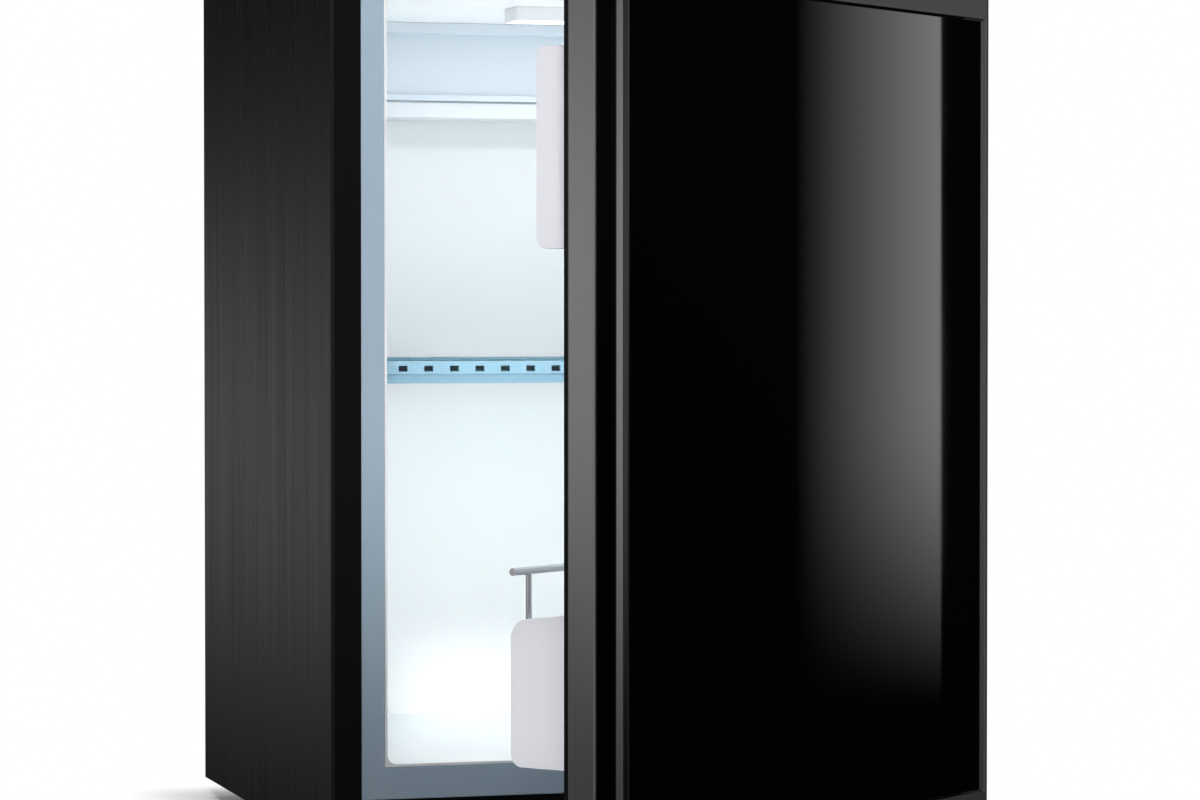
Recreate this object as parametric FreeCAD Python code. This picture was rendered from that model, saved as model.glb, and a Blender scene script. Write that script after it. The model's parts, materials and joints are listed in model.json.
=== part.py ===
"""Free-standing hotel minibar fridge with a glass-fronted door, built piece by piece.

Millimetres, +Z up. While a piece is built, X runs across the cabinet from its middle, Y runs back
from the plane of the front frame, and Z is the height above the floor. The door and what hangs on
it are built shut and then swung open to the angle at which the fridge rests. At the end everything
is moved together so that the origin lies under the middle of the whole part, on the floor.
"""
import FreeCAD
import Part
import math
import os

Vector = FreeCAD.Vector
UP = Vector(0, 0, 1)
ACROSS = Vector(1, 0, 0)
BACK = Vector(0, 1, 0)

# Cabinet body: a steel wrap over the sides and top, a base pan and a back panel
cabinet_width = 400.0
cabinet_height = 555.0
cabinet_depth = 400.0
wrap_sheet = 1.0
wrap_bend = 4.0
hem_width = 2.3
front_depth = 10.0
base_sheet = 1.5
back_sheet = 1.0
unit_recess = 60.0
overrun = 5.0
shaft_fit = 0.05

# Feet under the base pan
foot_height = 12.0
foot_radius = 15.0
foot_bevel = 1.5
foot_side_inset = 40.0
foot_front_inset = 65.0
foot_rear_inset = 40.0
foot_screw_radius = 2.0
foot_head_radius = 4.0
foot_head_height = 3.0
foot_head_sink = 4.0

# Black rim, breaker strip and liner round the opening
rim_side = 19.0
rim_top = 21.0
rim_bottom = 30.0
flange_side = 14.5
flange_top = 12.5
flange_bottom = 19.8
liner_wall = 1.5
liner_corner = 6.0
rear_insulation = 40.5

# Glass shelf with plastic trims, carried on ledges of the liner
shelf_drop = 231.0
shelf_glass_thickness = 4.0
shelf_front = 60.0
shelf_rear_gap = 4.0
shelf_side_gap = 1.2
trim_depth = 14.0
trim_wall = 2.4
trim_over = 2.6
trim_under = 7.2
window_width = 5.8
window_height = 3.6
window_pitch = 16.5
window_end = 17.0
ledge_width = 6.0
ledge_height = 5.0
ledge_gap = 8.0
ledge_step = 60.0

# Evaporator with its cover and drip tray, under the liner's ceiling
evaporator_width = 240.0
evaporator_height = 40.0
evaporator_drop = 8.0
evaporator_plate = 5.0
fin_depth = 34.0
fin_thickness = 1.6
fin_pitch = 10.0
boss_width = 80.0
boss_height = 20.0
boss_clearance = 0.5
cover_depth = 53.0
cover_wall = 2.0
cover_side_gap = 7.0
cover_drop = 4.0
cover_lip_depth = 4.0
cover_lip_height = 4.0
cover_flange_depth = 6.0
cover_flange_height = 7.0
tray_height = 10.0
tray_wall = 1.5
tray_gap = 1.0
drain_radius = 3.5
drain_bore_radius = 2.5
drain_reach = 20.0
drain_sill = 0.4

# Lamp on the ceiling
lamp_length = 120.0
lamp_width = 30.0
lamp_height = 9.0
lamp_wall = 1.5
lamp_set_back = 85.0
lamp_gap = 0.2
lamp_board = 1.6
lamp_lens = 2.4

# Thermostat on the right wall of the liner
thermostat_depth = 20.0
thermostat_width = 55.0
thermostat_height = 65.0
thermostat_gap = 66.0
thermostat_drop = 30.0
thermostat_corner = 3.0
dial_radius = 15.0
dial_thickness = 6.0
dial_gap = 0.3
dial_grip_width = 5.0
dial_grip_height = 5.0
dial_grip_margin = 1.5
dial_shaft_radius = 3.0
dial_shaft_length = 12.0
dial_bore_spare = 0.5

# Hinge plates above and below the door, and their pins and bushes
hinge_inset = 13.0
hinge_advance = 19.05
hinge_plate_thickness = 3.0
hinge_plate_half = 12.0
hinge_plate_back = 46.0
hinge_screw_first = 16.0
hinge_screw_pitch = 20.0
hinge_screw_radius = 2.0
hinge_head_radius = 3.8
hinge_head_height = 2.2
pin_radius = 3.0
pin_head_radius = 4.5
pin_head_height = 1.5
pin_tip_gap = 1.0
bush_radius = 5.0
bush_length = 13.0
bush_flange_radius = 7.0
thrust_gap = 0.3

# Door shell
door_gap = 8.4
door_thickness = 40.5
door_top_gap = 2.0
door_bottom_gap = 2.0
door_ajar_degrees = 39.0
glass_thickness = 3.5
glass_side_gap = 0.4
glass_bevel = 0.6
top_rail_height = 44.4
bottom_rail_height = 26.0
rail_gap = 1.4
rail_edge = 2.0
cap_thickness = 4.0
stile_width = 30.0
stile_edge = 1.6
grip_lip = 5.3
grip_width = 13.3
grip_depth = 16.0
hinge_stile_width = 22.0
hinge_lip = 6.5
skin_thickness = 0.8
pan_wall = 2.5
pan_rise = 7.0
pan_rise_margin = 60.0
pan_gap = 14.0
pan_rise_edge = 3.0
door_screw_radius = 1.75
door_screw_length = 20.0
door_head_radius = 3.4
door_head_height = 2.0
door_screw_inset = 6.0

# Door seal with its magnet strips
gasket_width = 12.0
gasket_inset = 8.0
gasket_hinge_inset = 14.0
gasket_gap = 0.3
gasket_base = 2.6
gasket_neck = 2.4
gasket_neck_inset = 2.5
magnet_strip_width = 6.0
magnet_strip_thickness = 1.6

# Lamp switch: a reed behind the rim and a magnet in the door
reed_length = 30.0
reed_section = 8.0
reed_offset = 100.0
reed_drop = 6.0
door_magnet_thickness = 5.0

# Door bins, hung on headed lugs of the door pan
bin_inset = 7.0
bin_wall = 2.5
bin_gap = 0.3
bin_corner = 7.5
bin_lift = 14.0
upper_bin_drop = 77.0
upper_bin_depth = 46.5
upper_bin_height = 114.0
upper_bin_front_height = 62.0
upper_bin_back_height = 100.0
upper_bin_chamfer = 3.0
lower_bin_rise = 68.0
lower_bin_depth = 64.3
lower_bin_height = 90.3
lower_bin_front_height = 76.0
lower_bin_back_height = 84.0
lower_bin_nose = 12.0
lower_bin_slope = 7.0
lug_inset = 43.0
lug_drop = 16.0
lug_neck_radius = 3.5
lug_head_radius = 6.5
lug_head_thickness = 2.5
lug_play = 0.3
lug_head_play = 0.8
rail_rise = 110.7
rail_radius = 2.2
post_radius = 1.8
post_inset = 16.0

# Cooling unit in the recess behind the back panel
unit_stand = 29.0
tube_radius = 7.0
tube_bend = 20.0
tube_clearance = 0.6
evaporator_tube_gap = 2.0
evaporator_tube_inset = 32.0
boiler_inset = 70.0
boiler_radius = 23.0
boiler_rise = 62.0
boiler_height = 270.0
boiler_edge = 6.0
heater_radius = 6.0
heater_depth = 60.0
heater_tail = 25.0
pump_tube_radius = 6.0
condenser_drop = 30.0
condenser_end_drop = 50.0
condenser_fin_width = 40.0
condenser_fin_height = 36.0
condenser_fin_thickness = 0.8
condenser_fin_pitch = 10.0
condenser_fin_margin = 34.0
coil_inset = 50.0
coil_gap = 8.0
coil_top_drop = 115.0
coil_rise = 81.0
coil_rows = 6
coil_start = 35.0
coil_drop_inset = 40.0
vessel_gap = 20.0
liquid_run = 22.0
vessel_rise = 85.0
vessel_radius = 24.0
vessel_edge = 8.0
bracket_width = 16.0
bracket_sheet = 2.0
bracket_foot = 14.0
bracket_left_inset = 40.0
bracket_drain_gap = 30.0
bracket_margin = 20.0
boiler_strap_width = 20.0
boiler_strap_height = 30.0
unit_screw_radius = 1.8
unit_head_radius = 3.6
unit_head_height = 2.0
panel_screw_inset = 10.0
panel_screw_margin = 120.0
panel_screw_rows = 3

# Junction box for the supply, with an open gland
junction_width = 84.0
junction_height = 70.0
junction_depth = 34.0
junction_wall = 2.0
junction_side_gap = 16.0
junction_rise = 25.0
junction_cover_thickness = 3.0
gland_radius = 8.0
gland_bore_radius = 4.5
gland_length = 14.0
gland_nut_radius = 11.0
gland_nut_length = 5.0

# Places that several pieces share
half_width = cabinet_width / 2
base_z = foot_height
top_z = base_z + cabinet_height
back_y = cabinet_depth - unit_recess
panel_y = back_y + back_sheet
interior_depth = back_y - rear_insulation - liner_wall
opening_half = half_width - rim_side - flange_side - liner_wall
opening_floor = base_z + rim_bottom + flange_bottom + liner_wall
opening_ceiling = top_z - rim_top - flange_top - liner_wall
liner_half = opening_half + liner_wall
liner_floor = opening_floor - liner_wall
liner_ceiling = opening_ceiling + liner_wall
liner_back = interior_depth + liner_wall

shelf_z = opening_ceiling - shelf_drop
shelf_half = opening_half - shelf_side_gap
shelf_back = interior_depth - shelf_rear_gap

evaporator_top = opening_ceiling - evaporator_drop
evaporator_bottom = evaporator_top - evaporator_height
evaporator_z = (evaporator_top + evaporator_bottom) / 2
evaporator_tube_y = liner_back + evaporator_tube_gap + tube_radius
cover_front = interior_depth - cover_depth
cover_half = opening_half - cover_side_gap
cover_bottom = evaporator_bottom - cover_drop
tray_top = cover_bottom - tray_gap
tray_bottom = tray_top - tray_height
drain_z = tray_bottom + tray_wall + drain_sill + drain_radius

thermostat_face = opening_half - thermostat_depth
thermostat_set_back = cover_front - cover_lip_depth - thermostat_gap - thermostat_width
thermostat_y = thermostat_set_back + thermostat_width / 2
thermostat_top = opening_ceiling - thermostat_drop
dial_z = thermostat_top - thermostat_height / 2

door_back = -door_gap
door_front = door_back - door_thickness
door_layer = door_front + glass_thickness
door_top = top_z - door_top_gap
door_bottom = base_z + door_bottom_gap
glass_bottom = door_bottom + bottom_rail_height
glass_top = door_top - top_rail_height - rail_gap
frame_bottom = door_bottom + cap_thickness
frame_top = door_top - cap_thickness
core_left = -half_width + stile_width
core_right = half_width - hinge_stile_width
hinge_x = half_width - hinge_inset
hinge_y = door_back - hinge_advance
grip_front = door_layer + grip_lip
grip_back = grip_front + grip_width
pan_face = door_back + pan_rise
bin_back = pan_face + bin_gap
pan_half = half_width - gasket_hinge_inset - gasket_width - pan_gap
bin_half = pan_half - bin_inset
lug_offset = bin_half - lug_inset
upper_bin_floor = door_top - upper_bin_drop - upper_bin_height
lower_bin_floor = base_z + lower_bin_rise

unit_y = panel_y + unit_stand
boiler_offset = half_width - boiler_inset
boiler_bottom = base_z + boiler_rise
boiler_top = boiler_bottom + boiler_height
condenser_z = top_z - condenser_drop
condenser_start = condenser_z - condenser_end_drop
coil_top = top_z - coil_top_drop
vessel_z = base_z + vessel_rise
vessel_left = half_width - junction_side_gap - junction_width - vessel_gap
vessel_right = boiler_offset - boiler_radius - liquid_run
coil_bottom = vessel_z + vessel_radius + coil_rise
coil_pitch = (coil_top - coil_bottom) / (coil_rows - 1)
coil_left = half_width - coil_inset
coil_right = boiler_offset - boiler_radius - tube_radius - coil_gap
coil_drop_offset = vessel_left - coil_drop_inset
evaporator_tube_reach = coil_right - evaporator_tube_inset
unit_screw_length = bracket_sheet + back_sheet


def block(x0, x1, y0, y1, z0, z1):
    """A box between two corners, given axis by axis."""
    return Part.makeBox(x1 - x0, y1 - y0, z1 - z0, Vector(x0, y0, z0))


def rod(radius, start, end):
    """A round bar from one point to another."""
    line = end - start
    return Part.makeCylinder(radius, line.Length, start, line)


def fuse(first, *others):
    """One solid from touching or crossing ones, with merged faces."""
    return first.fuse(list(others)).removeSplitter()


def along(direction, keep):
    """A test for straight edges parallel to a direction, whose middle passes the test keep."""
    def test(edge):
        if not isinstance(edge.Curve, Part.Line):
            return False
        return edge.Curve.Direction.cross(direction).Length < 1e-6 and keep(edge.CenterOfMass)
    return test


def rounded(solid, radius, test):
    """The solid with every edge that passes the test rounded."""
    return solid.makeFillet(radius, [edge for edge in solid.Edges if test(edge)])


def bevelled(solid, size, test):
    """The solid with every edge that passes the test cut at a slant."""
    return solid.makeChamfer(size, [edge for edge in solid.Edges if test(edge)])


def bent_path(points, bend):
    """A wire through points, with each corner turned by a tangent arc."""
    edges = []
    start = points[0]
    for before, corner, after in zip(points, points[1:], points[2:]):
        arriving = (corner - before).normalize()
        leaving = (after - corner).normalize()
        turn = arriving.getAngle(leaving)
        reach = bend * math.tan(turn / 2)
        enter = corner - arriving * reach
        leave = corner + leaving * reach
        inward = (leaving - arriving).normalize()
        middle = corner + inward * (bend / math.cos(turn / 2) - bend)
        if (enter - start).Length > Part.Precision.confusion():
            edges.append(Part.LineSegment(start, enter).toShape())
        edges.append(Part.Arc(enter, middle, leave).toShape())
        start = leave
    edges.append(Part.LineSegment(start, points[-1]).toShape())
    return Part.Wire(edges)


def tube(points, bend, radius):
    """A solid round tube along a bent path."""
    path = bent_path(points, bend)
    ring = Part.Wire([Part.makeCircle(radius, points[0], points[1] - points[0])])
    return path.makePipeShell([ring], True, False)


def screw(seat, inward, shank_radius, shank_length, head_radius, head_height):
    """A round-headed screw whose head sits on the seat and whose shank runs inward."""
    shank = Part.makeCylinder(shank_radius, shank_length, seat, inward)
    head = Part.makeCylinder(head_radius, head_height, seat, inward * -1)
    return fuse(shank, head)


def shell_section(inset, y0, y1, z0):
    """The cabinet's cross-section, set in from its outside, between two depths above a height."""
    half = half_width - inset
    top = top_z - inset
    bend = max(wrap_bend - inset, 0)
    solid = block(-half, half, y0, y1, z0, top)
    if bend > 0:
        solid = rounded(solid, bend, along(BACK, lambda middle: middle.z > (z0 + top) / 2))
    return solid


def foot_places():
    """The four feet's middles on the floor."""
    across = half_width - foot_side_inset
    depths = (foot_front_inset, cabinet_depth - foot_rear_inset)
    return [Vector(side * across, depth, 0) for side in (-1, 1) for depth in depths]


def hinge_screw_places(height):
    """The hinge plate's two screws, at a height."""
    depths = (hinge_screw_first, hinge_screw_first + hinge_screw_pitch)
    return [Vector(hinge_x, depth, height) for depth in depths]


def panel_screw_places():
    """The back panel's screws, down both sides."""
    across = half_width - wrap_sheet - panel_screw_inset
    span = cabinet_height - panel_screw_margin - panel_screw_margin
    heights = [
        base_z + panel_screw_margin + span * row / (panel_screw_rows - 1)
        for row in range(panel_screw_rows)
    ]
    return [Vector(side * across, panel_y, height) for side in (-1, 1) for height in heights]


def bracket_places():
    """The middles of the two upright brackets, across the cabinet."""
    return (bracket_left_inset - coil_left, bracket_drain_gap)


def bracket_screw_places():
    """The screws in the feet of the upright brackets, on the foot's rear face."""
    low = coil_bottom - bracket_margin - bracket_foot / 2
    high = coil_top + bracket_margin + bracket_foot / 2
    face = panel_y + bracket_sheet
    return [Vector(x, face, z) for x in bracket_places() for z in (low, high)]


def liner_outside():
    """The block that the liner fills, cavity and all."""
    return block(-liner_half, liner_half, 0, liner_back, liner_floor, liner_ceiling)


def make_cabinet_wrap():
    """Sides and top folded from one sheet, with a thicker hem along the front edge."""
    sheet = shell_section(0, 0, cabinet_depth, base_z)
    sheet = sheet.cut(shell_section(wrap_sheet, -overrun, cabinet_depth + overrun, base_z - overrun))
    hem = shell_section(wrap_sheet, 0, front_depth, base_z)
    hem = hem.cut(shell_section(hem_width, -overrun, front_depth + overrun, base_z - overrun))
    wrap = fuse(sheet, hem)
    holes = [
        rod(hinge_screw_radius, place, place - UP * (wrap_sheet + hem_width))
        for place in hinge_screw_places(top_z)
    ]
    return wrap.cut(holes)


def make_base_pan():
    """Floor plate between the sides, behind the front frame."""
    inner = half_width - wrap_sheet
    pan = block(-inner, inner, front_depth, cabinet_depth, base_z, base_z + base_sheet)
    holes = [
        rod(foot_screw_radius, place, place + UP * (foot_height + base_sheet))
        for place in foot_places()
    ]
    holes += [
        rod(hinge_screw_radius, place, place + UP * base_sheet)
        for place in hinge_screw_places(base_z)
    ]
    return pan.cut(holes)


def make_back_panel():
    """Rear wall of the insulated box, with holes for the tubes and the drain."""
    panel = shell_section(wrap_sheet, back_y, panel_y, base_z + base_sheet)
    holes = [
        rod(tube_radius + tube_clearance, Vector(x, back_y, evaporator_z), Vector(x, panel_y, evaporator_z))
        for x in (-evaporator_tube_reach, evaporator_tube_reach)
    ]
    holes.append(rod(drain_radius, Vector(0, back_y, drain_z), Vector(0, panel_y, drain_z)))
    holes += [rod(unit_screw_radius, place, place - BACK * back_sheet) for place in panel_screw_places()]
    holes += [
        rod(unit_screw_radius, place, place - BACK * unit_screw_length)
        for place in bracket_screw_places()
    ]
    return panel.cut(holes)


def make_front_frame():
    """Black rim on which the door seal closes."""
    frame = shell_section(hem_width, 0, front_depth, base_z)
    inner = half_width - rim_side
    hole = block(-inner, inner, -overrun, front_depth + overrun, base_z + rim_bottom, top_z - rim_top)
    return frame.cut(hole)


def make_breaker_strip():
    """Plastic ring between the rim and the liner, which stops the cold at the front edge."""
    outer = half_width - rim_side
    ring = block(-outer, outer, 0, front_depth, base_z + rim_bottom, top_z - rim_top)
    return ring.cut(liner_outside())


def shelf_ledges():
    """The liner's ledges for the shelf, one level in use and a spare one above and below it."""
    ledges = []
    for level in (-1, 0, 1):
        top = shelf_z + level * ledge_step
        left = (-opening_half, ledge_width - opening_half)
        right = (opening_half - ledge_width, opening_half)
        for x0, x1 in (left, right):
            front = shelf_front + trim_depth + ledge_gap
            back = shelf_back - trim_depth - ledge_gap
            ledges.append(block(x0, x1, front, back, top - ledge_height, top))
    return ledges


def make_inner_liner():
    """White tub with rounded long corners, shelf ledges and a window for the evaporator's boss."""
    cavity = block(-opening_half, opening_half, -overrun, interior_depth, opening_floor, opening_ceiling)
    cavity = rounded(cavity, liner_corner, along(BACK, lambda middle: True))
    tub = liner_outside().cut(cavity)
    tub = fuse(tub, *shelf_ledges())
    half = boss_width / 2 + boss_clearance
    rise = boss_height / 2 + boss_clearance
    window = block(-half, half, interior_depth - overrun, liner_back + overrun,
                   evaporator_z - rise, evaporator_z + rise)
    drain = rod(drain_radius, Vector(0, interior_depth, drain_z), Vector(0, liner_back, drain_z))
    return tub.cut([window, drain])


def reed_block():
    """The reed switch's place behind the top rim."""
    top = top_z - wrap_sheet - reed_drop
    return block(-reed_offset - reed_length / 2, -reed_offset + reed_length / 2,
                 front_depth, front_depth + reed_section, top - reed_section, top)


def make_foam_core():
    """Insulation between the outer sheets and the liner, hollowed for the tubes behind the liner."""
    foam = shell_section(wrap_sheet, front_depth, back_y, base_z + base_sheet)
    reach = max(evaporator_tube_reach + tube_radius + tube_clearance, boss_width / 2 + boss_clearance)
    rise = max(tube_radius + tube_clearance, boss_height / 2 + boss_clearance)
    pocket = block(-reach, reach, liner_back, back_y + overrun, evaporator_z - rise, evaporator_z + rise)
    drain = rod(drain_radius, Vector(0, liner_back, drain_z), Vector(0, back_y, drain_z))
    return foam.cut([liner_outside(), pocket, drain, reed_block()])


def make_shelf_glass():
    """Glass plate held in the front and rear trims."""
    return block(-shelf_half, shelf_half, shelf_front + trim_wall, shelf_back - trim_wall,
                 shelf_z, shelf_z + shelf_glass_thickness)


def shelf_trim(y0, y1):
    """A plastic channel across the shelf, with the glass's slot left out."""
    bar = block(-shelf_half, shelf_half, y0, y1, shelf_z - trim_under,
                shelf_z + shelf_glass_thickness + trim_over)
    return bar.cut(make_shelf_glass())


def make_shelf_front_trim():
    """Front channel with a row of small windows on the edge of the glass."""
    trim = shelf_trim(shelf_front, shelf_front + trim_depth)
    run = 2 * (shelf_half - window_end) - window_width
    count = int(run / window_pitch) + 1
    first = -window_pitch * (count - 1) / 2
    low = shelf_z + (shelf_glass_thickness - window_height) / 2
    windows = []
    for index in range(count):
        middle = first + index * window_pitch
        windows.append(block(middle - window_width / 2, middle + window_width / 2,
                             shelf_front - overrun, shelf_front + trim_wall, low, low + window_height))
    return trim.cut(windows)


def make_shelf_rear_trim():
    """Rear channel of the shelf."""
    return shelf_trim(shelf_back - trim_depth, shelf_back)


def make_evaporator_fins():
    """Aluminium plate with upright fins, and a boss through the liner to the cold tube."""
    half = evaporator_width / 2
    plate_front = interior_depth - evaporator_plate
    plate = block(-half, half, plate_front, interior_depth, evaporator_bottom, evaporator_top)
    count = int((evaporator_width - fin_thickness) / fin_pitch) + 1
    first = -fin_pitch * (count - 1) / 2
    fins = []
    for index in range(count):
        left = first + index * fin_pitch - fin_thickness / 2
        fins.append(block(left, left + fin_thickness, plate_front - fin_depth, plate_front,
                          evaporator_bottom, evaporator_top))
    boss = block(-boss_width / 2, boss_width / 2, interior_depth, evaporator_tube_y - tube_radius,
                 evaporator_z - boss_height / 2, evaporator_z + boss_height / 2)
    return fuse(plate, boss, *fins)


def make_evaporator_cover():
    """White shroud in front of the fins: a face, two cheeks, a flange along the top and a lip below."""
    face_back = cover_front + cover_wall
    face = block(-cover_half, cover_half, cover_front, face_back, cover_bottom, opening_ceiling)
    lip = block(-cover_half, cover_half, cover_front - cover_lip_depth, cover_front,
                cover_bottom, cover_bottom + cover_lip_height)
    flange = block(-cover_half, cover_half, cover_front - cover_flange_depth, cover_front,
                   opening_ceiling - cover_flange_height, opening_ceiling)
    cheeks = [
        block(x0, x0 + cover_wall, cover_front, interior_depth, cover_bottom, opening_ceiling)
        for x0 in (-cover_half, cover_half - cover_wall)
    ]
    return fuse(face, lip, flange, *cheeks)


def make_drip_tray():
    """Open tray under the evaporator, with a drain hole at the back."""
    front = cover_front + cover_wall
    tray = block(-cover_half, cover_half, front, interior_depth, tray_bottom, tray_top)
    hollow = block(tray_wall - cover_half, cover_half - tray_wall, front + tray_wall,
                   interior_depth - tray_wall, tray_bottom + tray_wall, tray_top + overrun)
    drain_start = Vector(0, interior_depth - tray_wall, drain_z)
    drain = rod(drain_radius, drain_start, Vector(0, interior_depth, drain_z))
    return tray.cut([hollow, drain])


def make_drain_tube():
    """Tube that leads the meltwater out to the back."""
    start = Vector(0, interior_depth - tray_wall, drain_z)
    end = Vector(0, panel_y + drain_reach, drain_z)
    return rod(drain_radius, start, end).cut(rod(drain_bore_radius, start, end))


def lamp_inside(z0, z1):
    """A plate that fits inside the lamp housing between two heights."""
    margin = lamp_wall + lamp_gap
    half = lamp_length / 2 - margin
    return block(-half, half, lamp_set_back + margin, lamp_set_back + lamp_width - margin, z0, z1)


def make_light_housing():
    """Shallow tray, open below, screwed to the ceiling of the liner."""
    half = lamp_length / 2
    bottom = opening_ceiling - lamp_height
    tray = block(-half, half, lamp_set_back, lamp_set_back + lamp_width, bottom, opening_ceiling)
    tray = rounded(tray, lamp_wall, along(UP, lambda middle: True))
    hollow = block(lamp_wall - half, half - lamp_wall, lamp_set_back + lamp_wall,
                   lamp_set_back + lamp_width - lamp_wall, bottom - overrun, opening_ceiling - lamp_wall)
    return tray.cut(hollow)


def make_light_lens():
    """Diffuser that closes the lamp housing, flush with its rim."""
    bottom = opening_ceiling - lamp_height
    return lamp_inside(bottom, bottom + lamp_lens)


def make_led_board():
    """Lamp circuit board against the roof of the housing."""
    roof = opening_ceiling - lamp_wall
    return lamp_inside(roof - lamp_board, roof)


def make_thermostat_housing():
    """Box on the right wall with a bore for the dial's shaft."""
    box = block(thermostat_face, opening_half, thermostat_set_back, thermostat_set_back + thermostat_width,
                thermostat_top - thermostat_height, thermostat_top)
    box = rounded(box, thermostat_corner, along(ACROSS, lambda middle: True))
    mouth = Vector(thermostat_face, thermostat_y, dial_z)
    bore = rod(dial_shaft_radius + shaft_fit, mouth, mouth + ACROSS * (dial_shaft_length + dial_bore_spare))
    return box.cut(bore)


def make_thermostat_dial():
    """Round dial with a grip bar across its face, on a shaft."""
    seat = Vector(thermostat_face - dial_gap, thermostat_y, dial_z)
    disc = rod(dial_radius, seat, seat - ACROSS * dial_thickness)
    shaft = rod(dial_shaft_radius, seat, seat + ACROSS * (dial_gap + dial_shaft_length))
    reach = dial_radius - dial_grip_margin
    face = seat.x - dial_thickness
    grip = block(face - dial_grip_height, face, thermostat_y - dial_grip_width / 2,
                 thermostat_y + dial_grip_width / 2, dial_z - reach, dial_z + reach)
    return fuse(disc, shaft, grip)


def make_feet():
    """Four round feet with a sunk screw hole each."""
    feet = []
    for place in foot_places():
        foot = Part.makeCylinder(foot_radius, foot_height, place)
        foot = bevelled(foot, foot_bevel, lambda edge: edge.Closed and edge.CenterOfMass.z < foot_bevel)
        sink = Part.makeCylinder(foot_head_radius, foot_head_sink, place)
        hole = Part.makeCylinder(foot_screw_radius, foot_height, place)
        feet.append(foot.cut([sink, hole]))
    return Part.makeCompound(feet)


def make_foot_screws():
    """The feet's screws, driven up into the base pan."""
    grip = foot_height + base_sheet - foot_head_sink
    return Part.makeCompound([
        screw(place + UP * foot_head_sink, UP, foot_screw_radius, grip, foot_head_radius, foot_head_height)
        for place in foot_places()
    ])


def hinge_plate(z0):
    """A flat hinge plate with a round nose at the hinge axis and holes for its pin and screws."""
    z1 = z0 + hinge_plate_thickness
    left = hinge_x - hinge_plate_half
    plate = block(left, hinge_x + hinge_plate_half, hinge_y, hinge_plate_back, z0, z1)
    nose = Part.makeCylinder(hinge_plate_half, hinge_plate_thickness, Vector(hinge_x, hinge_y, z0))
    pin_hole = Part.makeCylinder(pin_radius, hinge_plate_thickness, Vector(hinge_x, hinge_y, z0))
    holes = [
        Part.makeCylinder(hinge_screw_radius, hinge_plate_thickness, place)
        for place in hinge_screw_places(z0)
    ]
    return fuse(plate, nose).cut([pin_hole] + holes)


def make_top_hinge_plate():
    """Hinge plate on the roof of the cabinet."""
    return hinge_plate(top_z)


def make_bottom_hinge_plate():
    """Hinge plate under the base pan."""
    return hinge_plate(base_z - hinge_plate_thickness)


def hinge_pin(seat_z, direction, gap):
    """A pin with a flat head on the outer face of its plate, which reaches into the door's bush."""
    seat = Vector(hinge_x, hinge_y, seat_z)
    reach = hinge_plate_thickness + gap + bush_length - pin_tip_gap
    return screw(seat, direction, pin_radius, reach, pin_head_radius, pin_head_height)


def make_top_hinge_pin():
    """Pin that hangs from the top plate."""
    return hinge_pin(top_z + hinge_plate_thickness, UP * -1, door_top_gap)


def make_bottom_hinge_pin():
    """Pin that stands on the bottom plate."""
    return hinge_pin(base_z - hinge_plate_thickness, UP, door_bottom_gap)


def make_hinge_screws():
    """Two screws through each hinge plate."""
    top = top_z + hinge_plate_thickness
    bottom = base_z - hinge_plate_thickness
    screws = [
        screw(place, UP * -1, hinge_screw_radius, hinge_plate_thickness + wrap_sheet,
              hinge_head_radius, hinge_head_height)
        for place in hinge_screw_places(top)
    ]
    screws += [
        screw(place, UP, hinge_screw_radius, hinge_plate_thickness + base_sheet,
              hinge_head_radius, hinge_head_height)
        for place in hinge_screw_places(bottom)
    ]
    return Part.makeCompound(screws)


def unit_point(x, z):
    """A point in the plane of the cooling unit's tubes."""
    return Vector(x, unit_y, z)


def make_boiler_jacket():
    """Insulated boiler, a tall can with a bore for the heater in its bottom."""
    foot = unit_point(boiler_offset, boiler_bottom)
    jacket = Part.makeCylinder(boiler_radius, boiler_height, foot)
    jacket = rounded(jacket, boiler_edge, lambda edge: edge.Closed)
    bore = rod(heater_radius + shaft_fit, foot, foot + UP * heater_depth)
    return jacket.cut(bore)


def make_heater_cartridge():
    """Heater rod in the boiler, with its tail below."""
    foot = unit_point(boiler_offset, boiler_bottom)
    return rod(heater_radius, foot - UP * heater_tail, foot + UP * heater_depth)


def make_pump_tube():
    """Riser from the boiler to the condenser."""
    start = unit_point(boiler_offset, boiler_top)
    return rod(pump_tube_radius, start, unit_point(boiler_offset, condenser_start))


def make_liquid_tube():
    """Short return from the absorber vessel to the boiler."""
    return rod(pump_tube_radius, unit_point(vessel_right, vessel_z),
               unit_point(boiler_offset - boiler_radius, vessel_z))


def make_condenser_tube():
    """Tube that rises from the riser, crosses the cabinet and comes down to the absorber coil."""
    return tube([
        unit_point(boiler_offset, condenser_start),
        unit_point(boiler_offset, condenser_z),
        unit_point(-coil_left, condenser_z),
        unit_point(-coil_left, coil_top + coil_start),
    ], tube_bend, tube_radius)


def make_condenser_fins():
    """Thin square fins along the condenser's level run."""
    left = condenser_fin_margin - coil_left
    right = boiler_offset - condenser_fin_margin
    count = int((right - left) / condenser_fin_pitch) + 1
    fins = []
    for index in range(count):
        x0 = left + index * condenser_fin_pitch
        fin = block(x0, x0 + condenser_fin_thickness,
                    unit_y - condenser_fin_width / 2, unit_y + condenser_fin_width / 2,
                    condenser_z - condenser_fin_height / 2, condenser_z + condenser_fin_height / 2)
        hole = rod(tube_radius, unit_point(x0 - overrun, condenser_z), unit_point(x0 + overrun, condenser_z))
        fins.append(fin.cut(hole))
    return Part.makeCompound(fins)


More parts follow.
